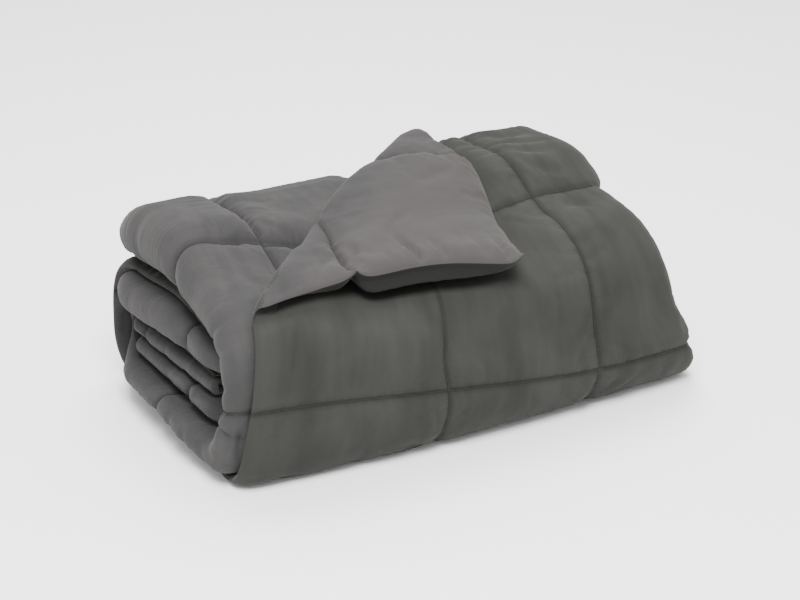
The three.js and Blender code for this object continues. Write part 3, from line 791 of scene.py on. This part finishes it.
# Where the reverse is gathered as it goes round the left fold: between these places along the duvet
FOLD_GATHERS = [
    {"from": 1.995, "to": 2.200, "count": 3, "rise": -0.0012},
    {"from": 1.700, "to": 1.840, "count": 3, "rise": -0.0016},
    {"from": 1.420, "to": 1.600, "count": 3, "rise": -0.0016},
    {"from": 0.860, "to": 1.090, "count": 3, "rise": -0.0014},
    {"from": 0.430, "to": 0.640, "count": 3, "rise": -0.0014},
    {"from": 0.030, "to": 0.210, "count": 2, "rise": -0.0012},
]
GATHER_REACH = 0.045
GATHER_WIDTH = 0.0080
GATHER_PLACES = (0.2, 0.8)      # where in its own share of the fold each one lies
GATHER_REACHES = (0.6, 1.3)     # and how much longer, deeper and wider it is than these
GATHER_RISES = (0.5, 1.3)
GATHER_WIDTHS = (0.8, 1.5)
GATHER_TILT = 0.012
GATHER_SEED = 11

gather_random = np.random.default_rng(GATHER_SEED)
fold_middle = (MIDDLE_END + INNER_START) / 2
for gather in FOLD_GATHERS:
    for i in range(gather["count"]):
        part = i + gather_random.uniform(*GATHER_PLACES)
        place = gather["from"] + (gather["to"] - gather["from"]) * part / gather["count"]
        reach = GATHER_REACH * gather_random.uniform(*GATHER_REACHES)
        tilt = gather_random.uniform(-GATHER_TILT, GATHER_TILT)
        REVERSE_CREASES.append({
            "from": (fold_middle - reach, place - tilt),
            "to": (fold_middle + reach, place + tilt),
            "rise": gather["rise"] * gather_random.uniform(*GATHER_RISES),
            "width": GATHER_WIDTH * gather_random.uniform(*GATHER_WIDTHS),
        })


CREASE_STARTS = (-0.15, 0.35)   # parts of a crease's length over which it fades in and out
CREASE_ENDS = (1.15, 0.65)


def creases_at(across, along, creases):
    """How far the creases raise or sink the cloth, each fading out at its two ends."""
    raised = np.zeros_like(across)
    for crease in creases:
        (a0, b0), (a1, b1) = crease["from"], crease["to"]
        length = math.hypot(a1 - a0, b1 - b0)
        part = ((across - a0) * (a1 - a0) + (along - b0) * (b1 - b0)) / length ** 2
        off = ((across - a0) * (b1 - b0) - (along - b0) * (a1 - a0)) / length
        faded = between(part, CREASE_STARTS) * between(part, CREASE_ENDS)
        raised += crease["rise"] * faded * np.exp(-(off / crease["width"]) ** 2)
    return raised


PUCKER_GAIN = 1.4
FOLD_PUCKER_GAIN = 0.7          # where the reverse goes round the left fold
SEAM_GROOVE = 0.0018
SEAM_GROOVE_WIDTH = 0.0042
EDGE_CALM = 0.012               # the two cloths meet evenly at the duvet's own edges
GATHERED_BESIDE = 0.017         # how far beside a seam the cloth is gathered in fine wrinkles
GATHERED_FOLD = 0.30            # how strongly it is where it goes round the left fold
TURNED_TONE_AND_SHADE_OVER = (0.010, 0.060)    # past the corner's fold the velvet is painted darker as painted shade under the corner's edge, and the reverse takes a lighter, warmer tone


def sewn_at(across, along):
    """1 on a seam, falling to nothing beside it."""
    near = np.minimum(nearest_seam(across, seams_across), nearest_seam(along, seams_along))
    return np.exp(-(near / SEAM_GROOVE_WIDTH) ** 2)


def gathered_at(across, along):
    """How strongly fine wrinkles stand beside the seams that cross the duvet, and beside the others."""
    crossing = np.exp(-(nearest_seam(along, seams_along) / GATHERED_BESIDE) ** 2)
    lengthways = np.exp(-(nearest_seam(across, seams_across) / GATHERED_BESIDE) ** 2)
    return crossing, np.maximum(lengthways, GATHERED_FOLD * on_left_fold(across))


def raised_cloth(across, along, side):
    """How far the puckers and creases stand out from the smooth face of each box."""
    gain = PUCKER_GAIN + (FOLD_PUCKER_GAIN - PUCKER_GAIN) * on_left_fold(across)
    creases = VELVET_CREASES if side > 0 else REVERSE_CREASES
    raised = gain * puckers_at(across, along, side) + creases_at(across, along, creases)
    raised = raised - SEAM_GROOVE * sewn_at(across, along)
    return raised * np.clip(from_edges(across, along) / EDGE_CALM, 0.0, 1.0)


def cloth_panel(name, shows, side):
    """One cloth of the duvet, with its flat places as its UV map and marks for its material."""
    across, along, faces = flat_cloth(shows)
    points = centre_on_box(place_cloth(across, along, side, raised_cloth(across, along, side)))
    mesh = bpy.data.meshes.new(name)
    ordered = faces if side < 0 else [face[::-1] for face in faces]
    mesh.from_pydata(points.tolist(), [], ordered)
    mesh.update()
    flat = np.stack([across, along], axis=-1)
    uv = mesh.uv_layers.new(name="flat")
    corner_points = np.empty(len(mesh.loops), dtype=np.int32)
    mesh.loops.foreach_get("vertex_index", corner_points)
    uv.data.foreach_set("uv", flat[corner_points].ravel())
    past_fold = turned_back(across, along)[3]
    crossing, lengthways = gathered_at(across, along)
    # Marks for the material: the seams, where it paints shade; the part past the corner's fold, where the
    # velvet gets painted shade and the reverse a lighter, warmer tone; and where fine wrinkles are bumped
    # in.
    marks = {
        "sewn": sewn_at(across, along),
        "gathered_crossing": crossing,
        "gathered_lengthways": lengthways,
        "turned_tone_and_painted_shade": between(past_fold, TURNED_TONE_AND_SHADE_OVER) * (across <= OUTER_END),
    }
    for mark, strength in marks.items():
        mesh.attributes.new(mark, "FLOAT", "POINT").data.foreach_set("value", strength)
    mesh.shade_smooth()
    return into_scene(name, mesh)


velvet_face = cloth_panel("velvet_face", velvet_shows, 1)

NAP_DRAWN_OUT = 0.22            # how far its streaks are drawn out along the duvet
UNEVEN_SCALE = 0.18             # the pile's unevenness, to its grain
PILE_BUMP = 0.0006
WRINKLE_DRAWN_OUT = 0.12
WRINKLE_BUMP = 0.0040
SEAM_SHADE_DARKER = 0.3               # painted shade in the seam grooves: what is left of the cloth's dark colour on a seam
CLOTH_SHINE = 0.15


def add_node(tree, kind, plain=(), fed=(), **settings):
    """A node of a tree: its settings, its plain inputs, and the outputs that feed its other inputs."""
    node = tree.nodes.new(kind)
    for setting, value in settings.items():
        setattr(node, setting, value)
    for socket, value in dict(plain).items():
        node.inputs[socket].default_value = value
    for socket, output in dict(fed).items():
        tree.links.new(output, node.inputs[socket])
    return node


def flat_group(name, numbers, result):
    """A shader group on the flat cloth's places, with named numbers in and one value out."""
    group = bpy.data.node_groups.new(name, "ShaderNodeTree")
    group.interface.new_socket("Flat", in_out="INPUT", socket_type="NodeSocketVector")
    for number in numbers:
        group.interface.new_socket(number, in_out="INPUT", socket_type="NodeSocketFloat")
    group.interface.new_socket(result, in_out="OUTPUT", socket_type="NodeSocketFloat")
    return group, group.nodes.new("NodeGroupInput")


def noise(tree, places, scale, **settings):
    """The value of a noise on these places, with its other numbers set by name."""
    plain = {setting.capitalize(): value for setting, value in settings.items()}
    node = add_node(tree, "ShaderNodeTexNoise", plain, {"Vector": places})
    tree.links.new(scale, node.inputs["Scale"])
    return node.outputs["Fac"]


def nap_group():
    """Pile brushed one way and another: soft streaks along the cloth, and patches. Values from 0 to 1."""
    group, given = flat_group("brushed_nap", ("Streaks per metre", "Patches per metre"), "Nap")
    flat = given.outputs["Flat"]
    stretch = add_node(group, "ShaderNodeMapping", {"Scale": (1.0, NAP_DRAWN_OUT, 1.0)}, {"Vector": flat})
    drawn_out = stretch.outputs["Vector"]
    streaks = noise(group, drawn_out, given.outputs["Streaks per metre"], detail=3.0, roughness=0.6)
    patches = noise(group, flat, given.outputs["Patches per metre"], detail=2.0, distortion=0.4)
    mix = add_node(group, "ShaderNodeMix", {"Factor": 0.45}, {"A": streaks, "B": patches})
    ends = {"From Min": 0.36, "From Max": 0.64}
    spread = add_node(group, "ShaderNodeMapRange", ends, {"Value": mix.outputs["Result"]})
    add_node(group, "NodeGroupOutput", fed={"Nap": spread.outputs["Result"]})
    return group


def pile_group():
    """The short pile itself: a fine grain with a little unevenness over it."""
    group, given = flat_group("cloth_pile", ("Grains per metre",), "Height")
    flat = given.outputs["Flat"]
    grains = given.outputs["Grains per metre"]
    coarse = add_node(group, "ShaderNodeMath", {1: UNEVEN_SCALE}, {0: grains}, operation="MULTIPLY")
    grain = noise(group, flat, grains, detail=2.0)
    uneven = noise(group, flat, coarse.outputs["Value"], detail=3.0)
    both = add_node(group, "ShaderNodeMath", fed={0: grain, 1: uneven}, operation="ADD")
    add_node(group, "NodeGroupOutput", fed={"Height": both.outputs["Value"]})
    return group


def gather_group():
    """Fine wrinkles that stand square to a seam: one noise drawn out along the duvet, one across it."""
    group, given = flat_group("fine_gathers", ("Gathers per metre", "Crossing", "Lengthways"), "Height")
    ways = (("Crossing", (1.0, WRINKLE_DRAWN_OUT, 1.0)), ("Lengthways", (WRINKLE_DRAWN_OUT, 1.0, 1.0)))
    both = add_node(group, "ShaderNodeMath", operation="ADD")
    for number, (way, scale) in enumerate(ways):
        flat = {"Vector": given.outputs["Flat"]}
        stretch = add_node(group, "ShaderNodeMapping", {"Scale": scale}, flat)
        wrinkles = noise(group, stretch.outputs["Vector"], given.outputs["Gathers per metre"], detail=1.0)
        strength = {0: wrinkles, 1: given.outputs[way]}
        wrinkled = add_node(group, "ShaderNodeMath", fed=strength, operation="MULTIPLY")
        group.links.new(wrinkled.outputs["Value"], both.inputs[number])
    add_node(group, "NodeGroupOutput", fed={"Height": both.outputs["Value"]})
    return group


brushed_nap = nap_group()
fine_gathers = gather_group()
cloth_pile = pile_group()


def new_material(name):
    material = bpy.data.materials.new(name)
    material.use_nodes = True
    return material, material.node_tree.nodes["Principled BSDF"]


def blend(tree, part, one, two):
    """A colour this part of the way from one to two, where one may come from another node."""
    plain = {"B": (*two, 1.0)}
    fed = {"Factor": part}
    if isinstance(one, tuple):
        plain["A"] = (*one, 1.0)
    else:
        fed["A"] = one
    return add_node(tree, "ShaderNodeMix", plain, fed, data_type="RGBA").outputs["Result"]


def times(tree, value, by):
    return add_node(tree, "ShaderNodeMath", {1: by}, {0: value}, operation="MULTIPLY").outputs["Value"]


def cloth_material(name, look):
    """A pile cloth whose colour and bump follow how its pile was brushed, with painted shade along its
    seams and, on the velvet, under the turned-back corner's edge.
    """
    material, shader = new_material(name)
    tree = material.node_tree
    shader.inputs["Roughness"].default_value = look["roughness"]
    shader.inputs["Specular IOR Level"].default_value = CLOTH_SHINE
    shader.inputs["Sheen Weight"].default_value = look["sheen"]
    shader.inputs["Sheen Roughness"].default_value = look["sheen_roughness"]
    shader.inputs["Sheen Tint"].default_value = (*look["sheen_tint"], 1.0)
    flat = add_node(tree, "ShaderNodeUVMap", uv_map="flat").outputs["UV"]
    marks = {}
    for mark in ("sewn", "turned_tone_and_painted_shade", "gathered_crossing", "gathered_lengthways"):
        marks[mark] = add_node(tree, "ShaderNodeAttribute", attribute_name=mark).outputs["Fac"]

    sizes = {"Streaks per metre": look["streaks"], "Patches per metre": look["patches"]}
    nap = add_node(tree, "ShaderNodeGroup", sizes, {"Flat": flat}, node_tree=brushed_nap)
    colour = blend(tree, nap.outputs["Nap"], look["dark"], look["light"])
    # Painted shade: the velvet past the corner's fold, under its edge, goes darker; the reverse there
    # takes a lighter, warmer tone.
    colour = blend(tree, times(tree, marks["turned_tone_and_painted_shade"], look["turned_tone_and_shade_part"]), colour, look["turned_tone_and_shade_colour"])
    # Painted shade in the seam grooves: the colour goes darker on every seam.
    darker = [value * SEAM_SHADE_DARKER for value in look["dark"]]
    colour = blend(tree, times(tree, marks["sewn"], look["seam_shade"]), colour, darker)
    tree.links.new(colour, shader.inputs["Base Color"])

    strengths = {
        "Flat": flat,
        "Crossing": marks["gathered_crossing"],
        "Lengthways": marks["gathered_lengthways"],
    }
    sizes = {"Gathers per metre": look["gathers"]}
    gathers = add_node(tree, "ShaderNodeGroup", sizes, strengths, node_tree=fine_gathers)
    depth = {"Strength": look["gather_bump"], "Distance": WRINKLE_BUMP}
    wrinkled = add_node(tree, "ShaderNodeBump", depth, {"Height": gathers.outputs["Height"]})
    sizes = {"Grains per metre": look["grains"]}
    pile = add_node(tree, "ShaderNodeGroup", sizes, {"Flat": flat}, node_tree=cloth_pile)
    depth = {"Strength": look["bump"], "Distance": PILE_BUMP}
    under = {"Height": pile.outputs["Height"], "Normal": wrinkled.outputs["Normal"]}
    bump = add_node(tree, "ShaderNodeBump", depth, under)
    tree.links.new(bump.outputs["Normal"], shader.inputs["Normal"])
    return material


VELVET_LOOK = {
    "dark": (0.0178, 0.0184, 0.0162),
    "light": (0.0285, 0.0294, 0.0262),
    # painted shade on the velvet under the turned-back corner's edge
    "turned_tone_and_shade_colour": (0.0080, 0.0083, 0.0073),
    "turned_tone_and_shade_part": 1.0,
    "seam_shade": 0.7,
    "roughness": 0.9,
    "sheen": 0.07,
    "sheen_roughness": 0.4,
    "sheen_tint": (0.75, 0.78, 0.72),
    "streaks": 20.0,
    "patches": 11.0,
    "grains": 900.0,
    "bump": 0.35,
    "gathers": 110.0,
    "gather_bump": 0.6,
}
velvet_face.data.materials.append(cloth_material("velvet", VELVET_LOOK))
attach(velvet_face, "root")
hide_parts("duvet")


# The brushed reverse.
# One panel of brushed microfibre, a little warmer and lighter than the velvet, sewn to it round the
# four edges with a plain turned seam and through the filling along the same lines.

CORNER_TO = {"across": 0.62, "turn": 1.88}      # the reverse shows on the corner and under it
FOLD_BESIDE = (0.06, 0.05)                      # round the left fold
TOP_FROM = {"across": 0.15, "turn": 1.9}        # on the layer that shows on top
EDGE_SHOWN = 0.05                               # and along the free edge


def reverse_shows(across, along):
    turn = turn_at(along)
    corner = (across < CORNER_TO["across"]) & (turn > CORNER_TO["turn"])
    left_fold = (across > MIDDLE_END - FOLD_BESIDE[0]) & (across < INNER_START + FOLD_BESIDE[1])
    top = (across > MIDDLE_START + TOP_FROM["across"]) & (across < INNER_START) & (turn > TOP_FROM["turn"])
    return corner | left_fold | top | (across < EDGE_SHOWN)


brushed_reverse = cloth_panel("brushed_reverse", reverse_shows, -1)

MICROFIBRE_LOOK = {
    "dark": (0.0284, 0.0276, 0.0275),
    "light": (0.0374, 0.0363, 0.0361),
    "turned_tone_and_shade_colour": (0.0445, 0.0408, 0.0400),
    "turned_tone_and_shade_part": 0.65,
    "seam_shade": 0.7,
    "roughness": 0.95,
    "sheen": 0.06,
    "sheen_roughness": 0.5,
    "sheen_tint": (0.9, 0.88, 0.86),
    "streaks": 60.0,
    "patches": 22.0,
    "grains": 1300.0,
    "bump": 0.25,
    "gathers": 120.0,
    "gather_bump": 0.9,
}
brushed_reverse.data.materials.append(cloth_material("brushed_microfibre", MICROFIBRE_LOOK))
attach(brushed_reverse, "root")
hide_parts("duvet")


# The quilting stitches.
# Polyester thread in the colour of the cloth, sewn through both cloths and the filling along every
# seam of the boxes. They are made where seams show: on the outer turn, the corner and the left folds.

STITCH_PITCH = 0.0042
STITCH_LENGTH = 0.0030
THREAD_THICKNESS = 0.0006
STITCH_SEED = 5
STITCH_PROUD = 0.0001
STITCH_LOWEST = 0.0020          # none are made on the underside that the bundle lies on
STITCH_SIDES = 6
STITCH_RINGS = 4
STITCH_UNEVEN = (0.85, 1.10)    # the smallest and the largest, to the others
SEAM_STEP = 0.004
FOLD_SEAM = (0.080, 0.060)      # how far before and past the left fold its seams are sewn
OUTER_TURN = float(np.interp(1.3, TURNS, LENGTHS))      # the outermost turn starts here along the duvet


def seen_of(across, along):
    """An outer seam is seen on the velvet before the corner's fold, and past it on the reverse."""
    beyond = beyond_fold(across, along)
    return [(across, along, beyond < 0, 1), (across, along, beyond > 2 * CORNER_RADIUS, -1)]


def seam_runs():
    """Every run of seam that shows, as flat places and the side of the duvet that it is seen on."""
    runs = []
    for seam in seams_across:
        if seam < OUTER_END:
            along = np.arange(OUTER_TURN, LENGTH - EDGE_ROUND, SEAM_STEP)
            runs += seen_of(np.full_like(along, seam), along)
    for seam in seams_along:
        if seam > OUTER_TURN:
            across = np.arange(EDGE_ROUND, MIDDLE_START, SEAM_STEP)
            runs += seen_of(across, np.full_like(across, seam))
        across = np.arange(MIDDLE_END - FOLD_SEAM[0], INNER_START + FOLD_SEAM[1], SEAM_STEP)
        runs.append((across, np.full_like(across, seam), np.full(across.shape, True), -1))
    return runs


def seam_paths():
    """The runs as lines of points in the bundle, broken where they don't show."""
    points = []
    edges = []
    for across, along, shown, side in seam_runs():
        places = centre_on_box(place_cloth(across, along, side, np.full_like(across, STITCH_PROUD)))
        last = None
        shown = shown & (places[:, 2] > STITCH_LOWEST)
        for place, is_shown in zip(places.tolist(), shown):
            if is_shown:
                points.append(place)
                if last is not None:
                    edges.append((last, len(points) - 1))
            last = len(points) - 1 if is_shown else None
    mesh = bpy.data.meshes.new("seam_paths")
    mesh.from_pydata(points, edges, [])
    return into_scene("seam_paths", mesh)


def stitch_tree(thread):
    """Geometry Nodes that set a short thread along each seam path at every stitch."""
    tree = bpy.data.node_groups.new("stitches", "GeometryNodeTree")
    face = tree.interface
    face.new_socket("Geometry", in_out="INPUT", socket_type="NodeSocketGeometry")
    for size in ("Stitch pitch", "Stitch length", "Thread thickness"):
        face.new_socket(size, in_out="INPUT", socket_type="NodeSocketFloat")
    face.new_socket("Seed", in_out="INPUT", socket_type="NodeSocketInt")
    face.new_socket("Geometry", in_out="OUTPUT", socket_type="NodeSocketGeometry")
    given = tree.nodes.new("NodeGroupInput")
    curve = add_node(tree, "GeometryNodeMeshToCurve", fed={"Mesh": given.outputs["Geometry"]})
    spaced = {"Curve": curve.outputs["Curve"], "Length": given.outputs["Stitch pitch"]}
    places = add_node(tree, "GeometryNodeResampleCurve", fed=spaced, mode="LENGTH")
    round_ball = {"Segments": STITCH_SIDES, "Rings": STITCH_RINGS, "Radius": 0.5}
    ball = add_node(tree, "GeometryNodeMeshUVSphere", round_ball)
    thickness = given.outputs["Thread thickness"]
    sizes = {"X": given.outputs["Stitch length"], "Y": thickness, "Z": thickness}
    size = add_node(tree, "ShaderNodeCombineXYZ", fed=sizes)
    stretched = {"Geometry": ball.outputs["Mesh"], "Scale": size.outputs["Vector"]}
    shaped = add_node(tree, "GeometryNodeTransform", fed=stretched)
    tangent = add_node(tree, "GeometryNodeInputTangent")
    along_seam = {"Vector": tangent.outputs["Tangent"]}
    lie = add_node(tree, "FunctionNodeAlignRotationToVector", fed=along_seam, axis="X")
    limits = {2: STITCH_UNEVEN[0], 3: STITCH_UNEVEN[1]}
    uneven = add_node(tree, "FunctionNodeRandomValue", limits, {"Seed": given.outputs["Seed"]})
    laid = {
        "Points": places.outputs["Curve"],
        "Instance": shaped.outputs["Geometry"],
        "Rotation": lie.outputs["Rotation"],
        "Scale": uneven.outputs[1],
    }
    copies = add_node(tree, "GeometryNodeInstanceOnPoints", fed=laid)
    whole = {"Geometry": copies.outputs["Instances"]}
    realized = add_node(tree, "GeometryNodeRealizeInstances", fed=whole)
    stitches = {"Geometry": realized.outputs["Geometry"]}
    threaded = add_node(tree, "GeometryNodeSetMaterial", {"Material": thread}, stitches)
    add_node(tree, "NodeGroupOutput", fed={"Geometry": threaded.outputs["Geometry"]})
    return tree


THREAD_ROUGHNESS = 0.6
THREAD_GRAINS = 2500.0
THREAD_DARK = (0.016, 0.0165, 0.015)
THREAD_LIGHT = (0.030, 0.031, 0.028)


def thread_material():
    """Matt thread, a little darker and lighter from place to place."""
    material, shader = new_material("polyester_thread")
    tree = material.node_tree
    shader.inputs["Roughness"].default_value = THREAD_ROUGHNESS
    place = {"Flat": add_node(tree, "ShaderNodeTexCoord").outputs["Object"]}
    grains = {"Grains per metre": THREAD_GRAINS}
    pile = add_node(tree, "ShaderNodeGroup", grains, place, node_tree=cloth_pile)
    height = {"Value": pile.outputs["Height"]}
    shade = add_node(tree, "ShaderNodeMapRange", {"From Min": 0.6, "From Max": 1.4}, height)
    colour = blend(tree, shade.outputs["Result"], THREAD_DARK, THREAD_LIGHT)
    tree.links.new(colour, shader.inputs["Base Color"])
    return material


paths = seam_paths()
stitching = paths.modifiers.new("stitches", "NODES")
stitching.node_group = stitch_tree(thread_material())
chosen = {
    "Stitch pitch": STITCH_PITCH,
    "Stitch length": STITCH_LENGTH,
    "Thread thickness": THREAD_THICKNESS,
    "Seed": STITCH_SEED,
}
for socket in stitching.node_group.interface.items_tree:
    if socket.in_out == "INPUT" and socket.name in chosen:
        stitching[socket.identifier] = chosen[socket.name]
stitched = paths.evaluated_get(bpy.context.evaluated_depsgraph_get())
stitch_mesh = bpy.data.meshes.new_from_object(stitched)
stitch_mesh.name = "quilting_stitches"
stitch_mesh.shade_smooth()
paths.modifiers.remove(stitching)
bpy.data.objects.remove(paths)
quilting_stitches = into_scene("quilting_stitches", stitch_mesh)
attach(quilting_stitches, "root")
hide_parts("duvet")


# The floor, a plain pale ground that the bundle lies on.

FLOOR_HALF = 6
floor_mesh = bpy.data.meshes.new("floor")
floor_corners = [(x * FLOOR_HALF, y * FLOOR_HALF, 0) for x, y in ((-1, -1), (1, -1), (1, 1), (-1, 1))]
floor_mesh.from_pydata(floor_corners, [], [(0, 1, 2, 3)])
floor = into_scene("floor", floor_mesh)
floor_material, floor_shader = new_material("pale_floor")
floor_shader.inputs["Base Color"].default_value = (0.96, 0.96, 0.96, 1.0)
floor_shader.inputs["Roughness"].default_value = 0.8
floor_mesh.materials.append(floor_material)


# Soft studio light from above, from the front and from the back, in a white room.

WORLD_STRENGTH = 1.25


def soft_light(name, place, aim, size, power):
    lamp = bpy.data.lights.new(name, "AREA")
    lamp.shape = "SQUARE"
    lamp.size = size
    lamp.energy = power
    light = into_scene(name, lamp)
    light.location = place
    light.rotation_euler = (Vector(aim) - Vector(place)).to_track_quat("-Z", "Y").to_euler()


soft_light("key_light", place=(-1.1, -1.8, 3.2), aim=(0, 0, 0.15), size=1.6, power=310)
soft_light("top_light", place=(0.6, 1.2, 3.2), aim=(0, 0, 0.1), size=2.6, power=155)
world = bpy.data.worlds.new("room")
world.use_nodes = True
world.node_tree.nodes["Background"].inputs["Color"].default_value = (1.0, 1.0, 1.0, 1.0)
world.node_tree.nodes["Background"].inputs["Strength"].default_value = WORLD_STRENGTH
bpy.context.scene.world = world


# The camera, at the photograph's angle: from the left and the front, a little above.

CAMERA_TURN = math.radians(-29.2)
CAMERA_RISE = math.radians(24.0)
CAMERA_DISTANCE = 3.8
CAMERA_AIM = (-0.0764, -0.2183, 0.2496)     # before the bundle is centred
LENS_PIXELS = 2536              # focal length in pixels of the picture
PICTURE_PIXELS = 800            # its width
SENSOR_WIDTH = 36.0             # in millimetres, as the lens is

camera_data = bpy.data.cameras.new("camera")
camera_data.sensor_width = SENSOR_WIDTH
camera_data.lens = LENS_PIXELS * SENSOR_WIDTH / PICTURE_PIXELS
camera = into_scene("camera", camera_data)
back = (
    math.sin(CAMERA_TURN) * math.cos(CAMERA_RISE),
    -math.cos(CAMERA_TURN) * math.cos(CAMERA_RISE),
    math.sin(CAMERA_RISE),
)
camera_aim = (CAMERA_AIM[0] - BUNDLE_CENTRE[0], CAMERA_AIM[1] - BUNDLE_CENTRE[1], CAMERA_AIM[2])
camera.location = [aim + CAMERA_DISTANCE * b for aim, b in zip(camera_aim, back)]
camera.rotation_euler = (math.pi / 2 - CAMERA_RISE, 0.0, CAMERA_TURN)
bpy.context.scene.camera = camera
